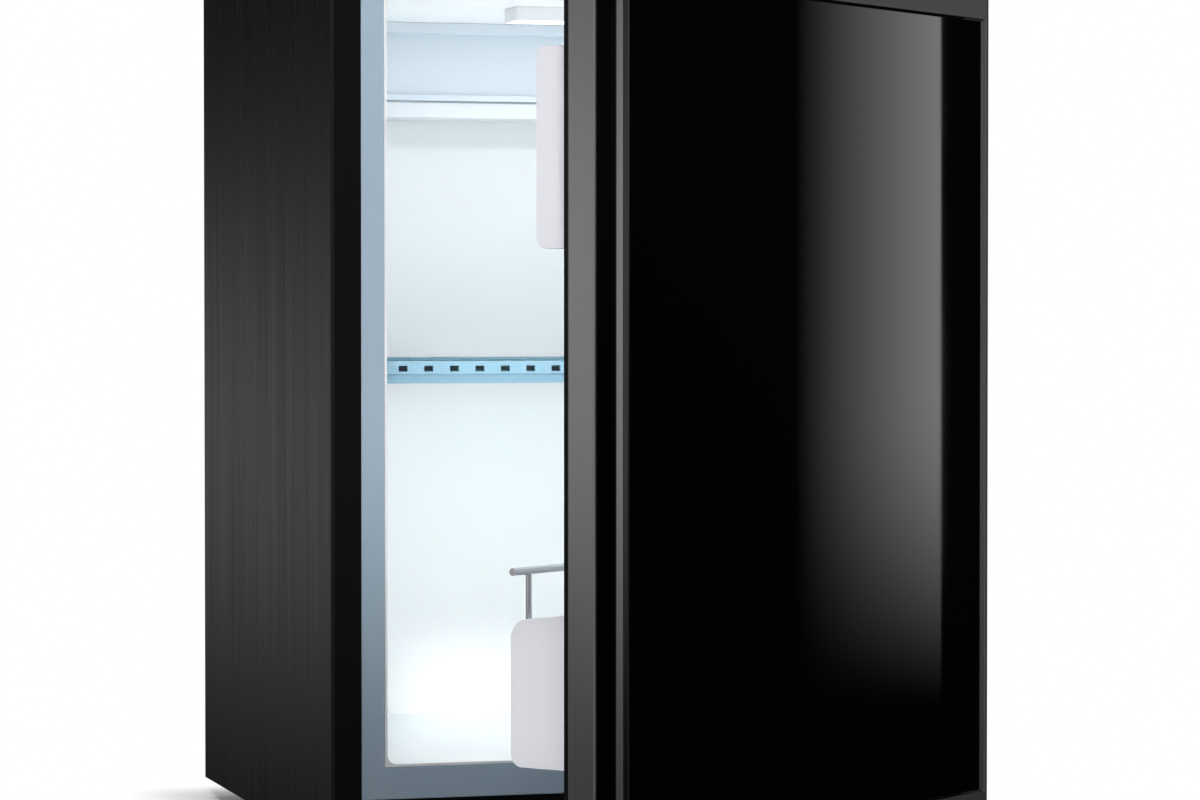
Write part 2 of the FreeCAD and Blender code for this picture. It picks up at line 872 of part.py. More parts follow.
def make_absorber_coil():
    """Serpentine tube, down from the condenser to the absorber vessel."""
    points = [unit_point(-coil_left, coil_top + coil_start)]
    ends = (-coil_left, coil_right)
    for row in range(coil_rows):
        height = coil_top - row * coil_pitch
        start, end = ends if row % 2 == 0 else ends[::-1]
        points.append(unit_point(start, height))
        if row < coil_rows - 1:
            points.append(unit_point(end, height))
    points.append(unit_point(-coil_drop_offset, coil_bottom))
    points.append(unit_point(-coil_drop_offset, vessel_z + vessel_radius))
    return tube(points, coil_pitch / 2, tube_radius)


def make_absorber_vessel():
    """Round tank across the foot of the recess."""
    left = unit_point(-vessel_left, vessel_z)
    vessel = rod(vessel_radius, left, unit_point(vessel_right, vessel_z))
    return rounded(vessel, vessel_edge, lambda edge: edge.Closed)


def make_evaporator_tube():
    """Cold tube that loops through the insulation behind the evaporator's boss."""
    reach = evaporator_tube_reach
    low = coil_top + tube_radius
    return tube([
        unit_point(-reach, low),
        unit_point(-reach, evaporator_z),
        Vector(-reach, evaporator_tube_y, evaporator_z),
        Vector(reach, evaporator_tube_y, evaporator_z),
        unit_point(reach, evaporator_z),
        unit_point(reach, low),
    ], tube_bend, tube_radius)


def make_unit_brackets():
    """Two upright channels that carry the coil, and a block that carries the boiler."""
    low = coil_bottom - bracket_margin
    high = coil_top + bracket_margin
    face = unit_y - tube_radius
    brackets = []
    for middle in bracket_places():
        left = middle - bracket_width / 2
        right = middle + bracket_width / 2
        channel = block(left, right, panel_y, face, low, high)
        hollow = block(left + bracket_sheet, right - bracket_sheet, panel_y - overrun, face - bracket_sheet,
                       low - overrun, high + overrun)
        feet = block(left, right, panel_y, panel_y + bracket_sheet, low - bracket_foot, high + bracket_foot)
        bracket = fuse(channel.cut(hollow), feet)
        holes = [
            rod(unit_screw_radius, place + BACK * overrun, place - BACK * overrun)
            for place in bracket_screw_places()
        ]
        brackets.append(bracket.cut(holes))
    strap_z = (boiler_bottom + boiler_top) / 2
    brackets.append(block(boiler_offset - boiler_strap_width / 2, boiler_offset + boiler_strap_width / 2,
                          panel_y, unit_y - boiler_radius,
                          strap_z - boiler_strap_height / 2, strap_z + boiler_strap_height / 2))
    return Part.makeCompound(brackets)


def make_unit_screws():
    """Screws that hold the brackets to the back panel."""
    return Part.makeCompound([
        screw(place, BACK * -1, unit_screw_radius, unit_screw_length, unit_head_radius, unit_head_height)
        for place in bracket_screw_places()
    ])


def make_back_panel_screws():
    """Screws round the back panel."""
    return Part.makeCompound([
        screw(place, BACK * -1, unit_screw_radius, back_sheet, unit_head_radius, unit_head_height)
        for place in panel_screw_places()
    ])


def junction_walls():
    """The junction box's left and right sides, floor and roof, as four places."""
    left = -half_width + junction_side_gap
    floor = base_z + junction_rise
    return left, left + junction_width, floor, floor + junction_height


def make_junction_box():
    """Open box on the back panel for the supply connections."""
    left, right, floor, roof = junction_walls()
    box = block(left, right, panel_y, panel_y + junction_depth, floor, roof)
    hollow = block(left + junction_wall, right - junction_wall, panel_y + junction_wall,
                   panel_y + junction_depth + overrun, floor + junction_wall, roof - junction_wall)
    return box.cut(hollow)


def gland_foot():
    """The gland's middle on the outer face of the junction box's lid."""
    left, right, floor, roof = junction_walls()
    return Vector((left + right) / 2, panel_y + junction_depth + junction_cover_thickness, (floor + roof) / 2)


def make_junction_cover():
    """Lid of the junction box."""
    left, right, floor, roof = junction_walls()
    face = panel_y + junction_depth
    lid = block(left, right, face, face + junction_cover_thickness, floor, roof)
    return lid.cut(rod(gland_radius, gland_foot(), gland_foot() - BACK * junction_cover_thickness))


def make_cable_gland():
    """Open gland through the lid: a nut and a sleeve with a clear bore."""
    foot = gland_foot()
    inner = foot - BACK * junction_cover_thickness
    outer = foot + BACK * gland_length
    nut = rod(gland_nut_radius, foot, foot + BACK * gland_nut_length)
    return fuse(nut, rod(gland_radius, inner, outer)).cut(rod(gland_bore_radius, inner, outer))


def door_screw_places(height):
    """Middles of the screws that hold a cap to the two stiles, at a height."""
    depth = door_back - door_screw_inset
    across = (-half_width + stile_width / 2, hinge_x)
    return [Vector(x, depth, height) for x in across]


def cap_holes(outer, inward, length):
    """Sunk holes for a cap's screws."""
    holes = []
    for place in door_screw_places(outer):
        holes.append(Part.makeCylinder(door_head_radius, door_head_height, place, inward))
        holes.append(Part.makeCylinder(door_screw_radius, length, place, inward))
    return holes


def bush_hole(outer, inward):
    """The seat of a hinge bush, from the door's end inward."""
    return Part.makeCylinder(bush_radius, bush_length, Vector(hinge_x, hinge_y, outer), inward)


def door_rail(plate_z0, plate_z1, cap_z0, cap_z1, outer, inward):
    """A rail across one end of the door: a front plate and a cap over the end."""
    plate = block(-half_width, half_width, door_front, door_layer, plate_z0, plate_z1)
    cap = block(-half_width, half_width, door_front, door_back, cap_z0, cap_z1)
    rail = fuse(plate, cap)
    rail = rounded(rail, rail_edge, along(ACROSS, lambda middle: (
        abs(middle.y - door_front) < rail_edge / 2 and abs(middle.z - outer) < rail_edge / 2)))
    return rail.cut(cap_holes(outer, inward, cap_thickness) + [bush_hole(outer, inward)])


def make_door_top_rail():
    """Tall rail above the glass."""
    return door_rail(door_top - top_rail_height, door_top, frame_top, door_top, door_top, UP * -1)


def make_door_bottom_rail():
    """Rail below the glass."""
    return door_rail(door_bottom, glass_bottom - rail_gap, door_bottom, frame_bottom, door_bottom, UP)


def stile_holes():
    """Holes in a stile's ends for the caps' screws and the hinge bushes."""
    top = cap_holes(door_top, UP * -1, door_screw_length + door_head_height)
    bottom = cap_holes(door_bottom, UP, door_screw_length + door_head_height)
    return top + bottom + [bush_hole(door_top, UP * -1), bush_hole(door_bottom, UP)]


def make_door_handle_stile():
    """Free edge of the door, with a grip groove down its whole height."""
    stile = block(-half_width, core_left, door_layer, door_back, frame_bottom, frame_top)
    groove = block(-half_width - overrun, grip_depth - half_width, grip_front, grip_back,
                   frame_bottom - overrun, frame_top + overrun)
    stile = stile.cut(groove)
    stile = rounded(stile, stile_edge, along(UP, lambda middle: (
        middle.x < stile_edge - half_width and middle.y > door_layer + stile_edge)))
    return stile.cut(stile_holes())


def make_door_hinge_stile():
    """Hinge edge of the door, with a lip beside the glass and a rounded front corner."""
    body = block(core_right, half_width, door_layer, door_back, frame_bottom, frame_top)
    lip = block(half_width - hinge_lip, half_width, door_front, door_layer, glass_bottom, glass_top)
    stile = fuse(body, lip)
    stile = rounded(stile, rail_edge, along(UP, lambda middle: (
        middle.x > half_width - rail_edge and abs(middle.y - door_front) < rail_edge)))
    return stile.cut(stile_holes())


def make_door_glass():
    """Black glass face of the door."""
    glass = block(glass_side_gap - half_width, half_width - hinge_lip - glass_side_gap,
                  door_front, door_layer, glass_bottom, glass_top)
    return bevelled(glass, glass_bevel, lambda edge: abs(edge.CenterOfMass.y - door_front) < glass_bevel / 2)


def make_door_skin():
    """Sheet behind the glass."""
    return block(core_left, core_right, door_layer, door_layer + skin_thickness, frame_bottom, frame_top)


def door_magnet_block():
    """The lamp switch's magnet, behind the skin and level with the reed switch."""
    top = top_z - wrap_sheet - reed_drop
    front = door_back - pan_wall - door_magnet_thickness
    return block(-reed_offset - reed_length / 2, -reed_offset + reed_length / 2,
                 front, door_back - pan_wall, top - reed_section, top)


def make_door_foam():
    """Insulation of the door."""
    foam = block(core_left, core_right, door_layer + skin_thickness, door_back - pan_wall,
                 frame_bottom, frame_top)
    return foam.cut(door_magnet_block())


def bin_lugs():
    """Headed lugs on the door pan, two for each bin."""
    lugs = []
    neck = bin_gap + bin_wall + bin_gap
    backs = (upper_bin_floor + upper_bin_back_height, lower_bin_floor + lower_bin_back_height)
    for back in backs:
        for side in (-1, 1):
            seat = Vector(side * lug_offset, pan_face, back - lug_drop)
            lugs.append(rod(lug_neck_radius, seat, seat + BACK * neck))
            lugs.append(rod(lug_head_radius, seat + BACK * neck, seat + BACK * (neck + lug_head_thickness)))
    return lugs


def make_door_liner():
    """White inner pan of the door: a flat plate, a raised field and the bins' lugs."""
    plate = block(core_left, core_right, door_back - pan_wall, door_back, frame_bottom, frame_top)
    field = block(-pan_half, pan_half, door_back, pan_face,
                  door_bottom + pan_rise_margin, door_top - pan_rise_margin)
    near = pan_rise_edge / 2
    field = rounded(field, pan_rise_edge, lambda edge: abs(edge.CenterOfMass.y - pan_face) < near)
    return fuse(plate, field, *bin_lugs())


def seal_ring(y0, y1, inset, width):
    """A ring of the seal between two depths, set in from the seal's outer line."""
    left = -half_width + gasket_inset + inset
    right = half_width - gasket_hinge_inset - inset
    low = door_bottom + gasket_inset + inset
    high = door_top - gasket_inset - inset
    ring = block(left, right, y0, y1, low, high)
    return ring.cut(block(left + width, right - width, y0 - overrun, y1 + overrun, low + width, high - width))


def magnet_places():
    """Near and far depth of the seal's magnet strips, in the middle of its head."""
    neck_end = door_back + gasket_base + gasket_neck
    middle = (neck_end - gasket_gap) / 2
    return middle - magnet_strip_thickness / 2, middle + magnet_strip_thickness / 2


def magnet_ring():
    """The channel that holds the magnet strips."""
    near, far = magnet_places()
    return seal_ring(near, far, (gasket_width - magnet_strip_width) / 2, magnet_strip_width)


def make_door_gasket():
    """Soft seal with a base, a waist and a head that holds the magnet strips."""
    waist_start = door_back + gasket_base
    waist_end = waist_start + gasket_neck
    base = seal_ring(door_back, waist_start, 0, gasket_width)
    waist = seal_ring(waist_start, waist_end, gasket_neck_inset, gasket_width - gasket_neck_inset * 2)
    head = seal_ring(waist_end, -gasket_gap, 0, gasket_width).cut(magnet_ring())
    return fuse(base, waist, head)


def make_gasket_magnets():
    """Four magnet strips inside the head of the seal."""
    near, far = magnet_places()
    inset = (gasket_width - magnet_strip_width) / 2
    left = -half_width + gasket_inset + inset
    right = half_width - gasket_hinge_inset - inset
    low = door_bottom + gasket_inset + inset
    high = door_top - gasket_inset - inset
    width = magnet_strip_width
    return Part.makeCompound([
        block(left, right, near, far, low, low + width),
        block(left, right, near, far, high - width, high),
        block(left, left + width, near, far, low + width, high - width),
        block(right - width, right, near, far, low + width, high - width),
    ])


def hinge_bush(outer, inward, gap):
    """A flanged plastic bush in the end of the door, bored for the hinge pin."""
    seat = Vector(hinge_x, hinge_y, outer)
    body = Part.makeCylinder(bush_radius, bush_length, seat, inward)
    flange = Part.makeCylinder(bush_flange_radius, gap - thrust_gap, seat, inward * -1)
    bore = rod(pin_radius + shaft_fit, seat - inward * gap, seat + inward * bush_length)
    return fuse(body, flange).cut(bore)


def make_top_hinge_bush():
    """Bush for the top pin."""
    return hinge_bush(door_top, UP * -1, door_top_gap)


def make_bottom_hinge_bush():
    """Bush for the bottom pin, whose flange carries the door."""
    return hinge_bush(door_bottom, UP, door_bottom_gap)


def make_door_screws():
    """Sunk screws that hold the caps to the stiles."""
    screws = []
    for outer, inward in ((door_top, UP * -1), (door_bottom, UP)):
        for place in door_screw_places(outer):
            seat = place + inward * door_head_height
            screws.append(screw(seat, inward, door_screw_radius, door_screw_length,
                                door_head_radius, door_head_height))
    return Part.makeCompound(screws)


def keyholes(lug_z):
    """Slots in a bin's back that slide down over the lugs and let their heads out when it is lifted."""
    cuts = []
    slot = lug_neck_radius + lug_play
    for side in (-1, 1):
        x = side * lug_offset
        start = Vector(x, bin_back - overrun, lug_z)
        low = Vector(x, bin_back - overrun, lug_z - bin_lift)
        through = BACK * (overrun + bin_wall)
        cuts.append(rod(slot, start, start + through))
        cuts.append(block(x - slot, x + slot, bin_back - overrun, bin_back + bin_wall, low.z, lug_z))
        cuts.append(rod(lug_head_radius + lug_head_play, low, low + through))
    return cuts


def bin_tray(outline, depth, floor, front_height, back_height, height):
    """A bin cut from its end outline: hollow, with a low front and back between two ends."""
    body = outline.extrude(ACROSS * (bin_half + bin_half))
    inner = bin_half - bin_wall
    front = bin_back + depth
    rim = floor + height + overrun
    hollow = block(-inner, inner, bin_back + bin_wall, front - bin_wall, floor + bin_wall, rim)
    hollow = rounded(hollow, bin_corner - bin_wall, along(ACROSS, lambda middle: (
        middle.y > bin_back + depth / 2 and middle.z < floor + height / 2)))
    low_front = block(-inner, inner, front - bin_wall - overrun, front + overrun,
                      floor + front_height, floor + height + overrun)
    low_back = block(-inner, inner, bin_back - overrun, bin_back + bin_wall + overrun,
                     floor + back_height, floor + height + overrun)
    tray = body.cut([hollow, low_front, low_back] + keyholes(floor + back_height - lug_drop))
    return tray


def end_outline(points, arcs):
    """A face at the bin's left end, through points of depth and height, with arcs at some of them.

    arcs maps the place of a point in the list to the radius that rounds it.
    """
    places = [Vector(-bin_half, depth, height) for depth, height in points]
    edges = []
    count = len(places)
    ends = []
    for index, corner in enumerate(places):
        before = places[index - 1]
        after = places[(index + 1) % count]
        arriving = (corner - before).normalize()
        leaving = (after - corner).normalize()
        turn = arriving.getAngle(leaving)
        bend = arcs.get(index, 0)
        reach = bend * math.tan(turn / 2)
        enter = corner - arriving * reach
        leave = corner + leaving * reach
        if bend:
            inward = (leaving - arriving).normalize()
            middle = corner + inward * (bend / math.cos(turn / 2) - bend)
            edges.append(Part.Arc(enter, middle, leave).toShape())
        ends.append((enter, leave))
    for index in range(count):
        edges.append(Part.LineSegment(ends[index - 1][1], ends[index][0]).toShape())
    return Part.Face(Part.Wire(Part.__sortEdges__(edges)))


def make_upper_bin():
    """Tall bin for small bottles: rounded at the bottom, with a cut corner at the top of each end."""
    floor = upper_bin_floor
    roof = floor + upper_bin_height
    front = bin_back + upper_bin_depth
    outline = end_outline([
        (bin_back, floor),
        (front, floor),
        (front, roof - upper_bin_chamfer),
        (front - upper_bin_chamfer, roof),
        (bin_back, roof),
    ], {1: bin_corner})
    heights = (upper_bin_front_height, upper_bin_back_height, upper_bin_height)
    return bin_tray(outline, upper_bin_depth, floor, *heights)


def make_lower_bin():
    """Deep bin for bottles, with a rounded nose at the top of each end."""
    floor = lower_bin_floor
    roof = floor + lower_bin_height
    front = bin_back + lower_bin_depth
    outline = end_outline([
        (bin_back, floor),
        (front, floor),
        (front, roof - lower_bin_slope),
        (bin_back, roof),
    ], {1: bin_corner, 2: lower_bin_nose})
    heights = (lower_bin_front_height, lower_bin_back_height, lower_bin_height)
    return bin_tray(outline, lower_bin_depth, floor, *heights)


def make_lower_bin_rail():
    """Guard rail above the front of the lower bin, on three posts."""
    depth = bin_back + lower_bin_depth - bin_wall / 2
    height = lower_bin_floor + rail_rise
    foot = lower_bin_floor + lower_bin_front_height
    bar = rod(rail_radius, Vector(-bin_half, depth, height), Vector(bin_half, depth, height))
    posts = [
        rod(post_radius, Vector(x, depth, foot), Vector(x, depth, height))
        for x in (post_inset - bin_half, 0, bin_half - post_inset)
    ]
    return fuse(bar, *posts)


CABINET = {
    "cabinet_wrap": make_cabinet_wrap,
    "base_pan": make_base_pan,
    "back_panel": make_back_panel,
    "front_frame": make_front_frame,
    "breaker_strip": make_breaker_strip,
    "inner_liner": make_inner_liner,
    "foam_core": make_foam_core,
    "shelf_glass": make_shelf_glass,
    "shelf_front_trim": make_shelf_front_trim,
    "shelf_rear_trim": make_shelf_rear_trim,
    "evaporator_fins": make_evaporator_fins,
    "evaporator_cover": make_evaporator_cover,
    "drip_tray": make_drip_tray,
    "drain_tube": make_drain_tube,
    "light_housing": make_light_housing,
    "light_lens": make_light_lens,
    "led_board": make_led_board,
    "thermostat_housing": make_thermostat_housing,
    "thermostat_dial": make_thermostat_dial,
    "feet": make_feet,
    "foot_screws": make_foot_screws,
    "top_hinge_plate": make_top_hinge_plate,
    "bottom_hinge_plate": make_bottom_hinge_plate,
    "top_hinge_pin": make_top_hinge_pin,
    "bottom_hinge_pin": make_bottom_hinge_pin,
    "hinge_screws": make_hinge_screws,
    "reed_switch": reed_block,
    "boiler_jacket": make_boiler_jacket,
    "heater_cartridge": make_heater_cartridge,
    "pump_tube": make_pump_tube,
    "liquid_tube": make_liquid_tube,
    "condenser_tube": make_condenser_tube,
    "condenser_fins": make_condenser_fins,
    "absorber_coil": make_absorber_coil,
    "absorber_vessel": make_absorber_vessel,
    "evaporator_tube": make_evaporator_tube,
    "unit_brackets": make_unit_brackets,
    "unit_screws": make_unit_screws,
    "back_panel_screws": make_back_panel_screws,
    "junction_box": make_junction_box,
    "junction_cover": make_junction_cover,
    "cable_gland": make_cable_gland,
}

DOOR = {
    "door_glass": make_door_glass,
    "door_top_rail": make_door_top_rail,
    "door_bottom_rail": make_door_bottom_rail,
    "door_handle_stile": make_door_handle_stile,
    "door_hinge_stile": make_door_hinge_stile,
    "door_skin": make_door_skin,
    "door_foam": make_door_foam,
    "door_magnet": door_magnet_block,
    "door_liner": make_door_liner,
    "door_gasket": make_door_gasket,
    "gasket_magnets": make_gasket_magnets,
    "top_hinge_bush": make_top_hinge_bush,
    "bottom_hinge_bush": make_bottom_hinge_bush,
    "door_screws": make_door_screws,
    "upper_bin": make_upper_bin,
    "lower_bin": make_lower_bin,
    "lower_bin_rail": make_lower_bin_rail,
}


def build():
    """Every piece at its place, with the door ajar, and the move that centres the part."""
    shapes = {name: make() for name, make in CABINET.items()}
    for name, make in DOOR.items():
        shape = make()
        shape.rotate(Vector(hinge_x, hinge_y, 0), UP, door_ajar_degrees)
        shapes[name] = shape
    box = Part.makeCompound(list(shapes.values())).optimalBoundingBox()
    move = Vector(-box.Center.x, -box.Center.y, -box.ZMin)
    for shape in shapes.values():
        shape.translate(move)
    return shapes, move


def main():
    """Write one file for each piece."""
    os.makedirs("parts", exist_ok=True)
    shapes, move = build()
    for name, shape in shapes.items():
        shape.exportStep("parts/" + name + ".step")
    print("pieces", len(shapes), "moved by", move)


main()
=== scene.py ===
"""Dresses a small glass-doored minibar fridge: finishes, moulded details, camera and studio light."""
import json
import logging
import math
from dataclasses import dataclass, replace
from enum import Enum
from functools import lru_cache
from typing import Iterable, Optional, Sequence

import bmesh
import bpy
from mathutils import Matrix, Vector


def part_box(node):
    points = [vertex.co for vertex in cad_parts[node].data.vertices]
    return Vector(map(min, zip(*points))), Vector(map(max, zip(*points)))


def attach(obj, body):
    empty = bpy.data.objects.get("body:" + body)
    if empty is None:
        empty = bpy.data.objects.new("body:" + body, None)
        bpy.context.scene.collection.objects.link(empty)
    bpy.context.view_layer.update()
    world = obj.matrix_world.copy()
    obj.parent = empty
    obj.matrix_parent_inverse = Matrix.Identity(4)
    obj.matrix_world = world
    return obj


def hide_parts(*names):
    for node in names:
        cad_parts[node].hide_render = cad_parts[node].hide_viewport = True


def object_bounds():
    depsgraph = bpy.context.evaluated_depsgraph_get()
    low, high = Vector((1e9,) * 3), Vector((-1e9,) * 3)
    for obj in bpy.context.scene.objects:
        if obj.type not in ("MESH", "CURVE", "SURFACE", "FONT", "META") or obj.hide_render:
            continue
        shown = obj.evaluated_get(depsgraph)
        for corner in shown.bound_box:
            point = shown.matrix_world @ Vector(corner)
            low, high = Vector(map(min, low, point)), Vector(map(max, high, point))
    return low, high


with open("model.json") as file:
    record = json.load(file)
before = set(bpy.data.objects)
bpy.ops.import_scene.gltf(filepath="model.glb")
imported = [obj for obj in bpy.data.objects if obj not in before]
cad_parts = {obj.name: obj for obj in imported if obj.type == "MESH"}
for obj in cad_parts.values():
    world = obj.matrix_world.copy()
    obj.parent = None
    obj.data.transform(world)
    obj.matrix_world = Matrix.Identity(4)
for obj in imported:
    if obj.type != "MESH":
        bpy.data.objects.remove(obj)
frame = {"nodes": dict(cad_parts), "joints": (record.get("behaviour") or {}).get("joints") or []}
CAD_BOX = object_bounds()
LOG = logging.getLogger("minibar")

MM = 0.001
Pair = tuple[float, float]
Colour = tuple[float, float, float]
Outline = Sequence[Pair]
Values = dict[str, object]
Draft = bmesh.types.BMesh
Socket = bpy.types.NodeSocket
WHITE = (1.0, 1.0, 1.0, 1.0)
BLACK = (0.0, 0.0, 0.0, 1.0)
UP = Vector((0, 0, 1))
DOWN = Vector((0, 0, -1))
REAR = Vector((0, 1, 0))
INTO_ROOM = Vector((-1, 0, 0))
RIGHT = Vector((1, 0, 0))
WELD_REACH = 0.002 * MM
FLAT_ANGLE = math.radians(0.5)
SHARP_ANGLE = math.radians(40)
EASE_STEPS = 2


class Body(Enum):
    """The rigid bodies of the fridge."""

    CABINET = "cabinet"
    DOOR = "door"
    DIAL = "thermostat_dial"


class Sum(Enum):
    """The sums that shader values use."""

    ADD = "ADD"
    SUBTRACT = "SUBTRACT"
    MULTIPLY = "MULTIPLY"
    POWER = "POWER"


@dataclass
class Tree:
    """A node tree, filled through one method."""

    nodes: bpy.types.NodeTree

    def feed(self, socket: Socket, value: object) -> None:
        """Set a socket, or link something into it.

        Args:
            socket: The input socket.
            value: A signal, an output socket, or a plain value.
        """
        if isinstance(value, Signal):
            value = value.socket
        if isinstance(value, Socket):
            self.nodes.links.new(value, socket)
        else:
            socket.default_value = value

    def node(self, kind: str, sockets: Optional[dict] = None, **settings: object) -> bpy.types.Node:
        """Add a node.

        Args:
            kind: The node's type.
            sockets: Values or links of its inputs, by name or number.
            settings: Its properties, set first.

        Returns:
            The new node.
        """
        made = self.nodes.nodes.new(kind)
        for key, value in settings.items():
            setattr(made, key, value)
        for key, value in (sockets or {}).items():
            self.feed(made.inputs[key], value)
        return made

    def blend(self, share: "Signal", first: Colour, second: Colour) -> Socket:
        """A colour between two, by the share of the second."""
        ends = {0: share, 6: (*first, 1.0), 7: (*second, 1.0)}
        return self.node("ShaderNodeMix", ends, data_type="RGBA").outputs[2]

    def slope(self, value: "Signal", start: float, end: float) -> "Signal":
        """A smooth step from 0 where a value is at the start to 1 at the end."""
        made = self.node("ShaderNodeMapRange", {0: value, 1: start, 2: end, 3: 0.0, 4: 1.0},
                         interpolation_type="SMOOTHSTEP")
        return Signal(self, made.outputs[0])


@dataclass(frozen=True)
class Signal:
    """A value socket whose arithmetic adds Math nodes."""

    tree: Tree
    socket: Socket

    def joined(self, kind: Sum, first: object, second: object) -> "Signal":
        """The result of one Math node."""
        made = self.tree.node("ShaderNodeMath", {0: first, 1: second}, operation=kind.value)
        return Signal(self.tree, made.outputs[0])

    def __add__(self, other: object) -> "Signal":
        """This value plus another."""
        return self.joined(Sum.ADD, self, other)

    __radd__ = __add__

    def __sub__(self, other: object) -> "Signal":
        """This value less another."""
        return self.joined(Sum.SUBTRACT, self, other)

    def __rsub__(self, other: object) -> "Signal":
        """Another value less this one."""
        return self.joined(Sum.SUBTRACT, other, self)

    def __mul__(self, other: object) -> "Signal":
        """This value times another."""
        return self.joined(Sum.MULTIPLY, self, other)

    __rmul__ = __mul__

    def __pow__(self, other: object) -> "Signal":
        """This value to a power."""
        return self.joined(Sum.POWER, self, other)


class Coat(Tree):
    """A material under way: its tree and its main shader."""

    def __init__(self, name: str) -> None:
        """Start a material.

        Args:
            name: The material's name.
        """
        self.material = bpy.data.materials.new(name)
        self.material.use_nodes = True
        super().__init__(self.material.node_tree)
        self.shader = self.nodes.nodes["Principled BSDF"]

    def place(self, sizes: Colour, turn: float = 0.0) -> Socket:
        """Object coordinates in lengths of one's own, in metres, turned about the upright."""
        made = self.node("ShaderNodeMapping", {
            "Vector": self.node("ShaderNodeTexCoord").outputs["Object"],
            "Rotation": (0.0, 0.0, turn), "Scale": sizes}, vector_type="TEXTURE")
        return made.outputs[0]

    def noise(self, sizes: Colour, detail: float = 3.0, turn: float = 0.0) -> Signal:
        """Soft noise from 0 to 1 with grains of given sizes, in metres."""
        made = self.node("ShaderNodeTexNoise", {
            "Vector": self.place(sizes, turn), "Scale": 1.0, "Detail": detail})
        return Signal(self, made.outputs[0])

    def put(self, name: str, value: object) -> None:
        """Set or link an input of the main shader."""
        self.feed(self.shader.inputs[name], value)

    def relief(self, height: Signal, depth: float) -> None:
        """Raise the surface by a height whose 1 stands for a depth in metres."""
        made = self.node("ShaderNodeBump", {"Strength": 1.0, "Distance": depth, "Height": height})
        self.put("Normal", made.outputs[0])


@dataclass(frozen=True)
class Finish:
    """What every finish has."""

    name: str
    colour: Colour
    roughness: float

    def constants(self) -> Values:
        """Shader values that are the same all over."""
        raise NotImplementedError

    def paint(self, coat: Coat) -> None:
        """Add what changes over the surface of the material under way."""
        raise NotImplementedError

    def shade(self, coat: Coat, share: Signal, low: float, high: float) -> None:
        """Colour the surface between a darker and a lighter tone, given as factors."""
        ends = [tuple(min(part * factor, 1.0) for part in self.colour) for factor in (low, high)]
        coat.put("Base Color", coat.blend(share, *ends))

    def gloss(self, coat: Coat, share: Signal, spread: float) -> None:
        """Vary the roughness about its middle."""
        coat.put("Roughness", share * spread + (self.roughness - spread / 2))


@dataclass(frozen=True)
class Moulded(Finish):
    """Plastic, rubber or foam: a fine grain and a slow drift of tone."""

    grain: float = 0.0007
    depth: float = 0.00002
    spread: float = 0.03
    drift: float = 0.09
    specular: float = 0.5
    gloss_spread: float = 0.08
    patch_share: float = 0.7
    fine_detail: float = 2.0
    glow: float = 0.0

    def constants(self) -> Values:
        """Shine, and light of its own.

        Returns:
            Values by socket name.
        """
        values: Values = {"Specular IOR Level": self.specular}
        if self.glow:
            values["Emission Color"] = (*self.colour, 1.0)
            values["Emission Strength"] = self.glow
        return values

    def paint(self, coat: Coat) -> None:
        """Drift of tone and gloss, and the mould's grain.

        Args:
            coat: The material under way.
        """
        patch = coat.noise((self.drift,) * 3)
        fine = coat.noise((self.grain,) * 3, self.fine_detail)
        tone = patch * self.patch_share + fine * (1 - self.patch_share)
        self.shade(coat, tone, 1 - self.spread, 1 + self.spread)
        self.gloss(coat, patch, self.gloss_spread)
        coat.relief(fine, self.depth)


@dataclass(frozen=True)
class Brushed(Finish):
    """Metal or lacquered sheet with a grain that runs one way."""

    metallic: float = 0.9
    run: Colour = (0.0006, 0.0006, 0.09)
    turn: float = 0.0
    streak: float = 0.2
    depth: float = 0.00001
    specular: float = 0.5
    broad_scale: float = 6.0
    broad_share: float = 0.4
    contrast: float = 1.4
    metal_spread: float = 0.0
    gloss_spread: float = 0.16
    fine_detail: float = 4.0
    middle: float = 0.5

    def constants(self) -> Values:
        """Metal and shine."""
        return {"Metallic": self.metallic, "Specular IOR Level": self.specular}

    def paint(self, coat: Coat) -> None:
        """Fine and coarse streaks in tone, gloss and relief.

        Args:
            coat: The material under way.
        """
        fine = coat.noise(self.run, self.fine_detail, self.turn)
        broad = coat.noise(tuple(part * self.broad_scale for part in self.run), turn=self.turn)
        mixed = fine * (1 - self.broad_share) + broad * self.broad_share
        tone = (mixed - self.middle) * self.contrast + self.middle
        self.shade(coat, tone, 1 - self.streak, 1 + self.streak)
        if self.metal_spread:
            coat.put("Metallic", tone * self.metal_spread + self.metallic)
        self.gloss(coat, tone, self.gloss_spread)
        coat.relief(fine, self.depth)


@dataclass(frozen=True)
class Spangled(Finish):
    """Zinc-coated sheet with its flowery crystals."""

    crystal: float = 0.012
    metallic: float = 0.75
    dust: float = 0.03
    dust_detail: float = 5.0
    cell_share: float = 0.6
    dark: float = 0.75
    pale: float = 1.2
    gloss_spread: float = 0.2
    depth: float = 0.00002

    def constants(self) -> Values:
        """Half metal, as zinc that has dulled."""
        return {"Metallic": self.metallic}

    def paint(self, coat: Coat) -> None:
        """Crystals of differing tone and gloss.

        Args:
            coat: The material under way.
        """
        cells = coat.node("ShaderNodeTexVoronoi", {
            "Vector": coat.place((self.crystal,) * 3), "Scale": 1.0})
        parts = coat.node("ShaderNodeSeparateColor", {0: cells.outputs["Color"]})
        cell = Signal(coat, parts.outputs[0])
        dust = coat.noise((self.dust,) * 3, self.dust_detail)
        tone = cell * self.cell_share + dust * (1 - self.cell_share)
        self.shade(coat, tone, self.dark, self.pale)
        self.gloss(coat, tone, self.gloss_spread)
        coat.relief(dust, self.depth)


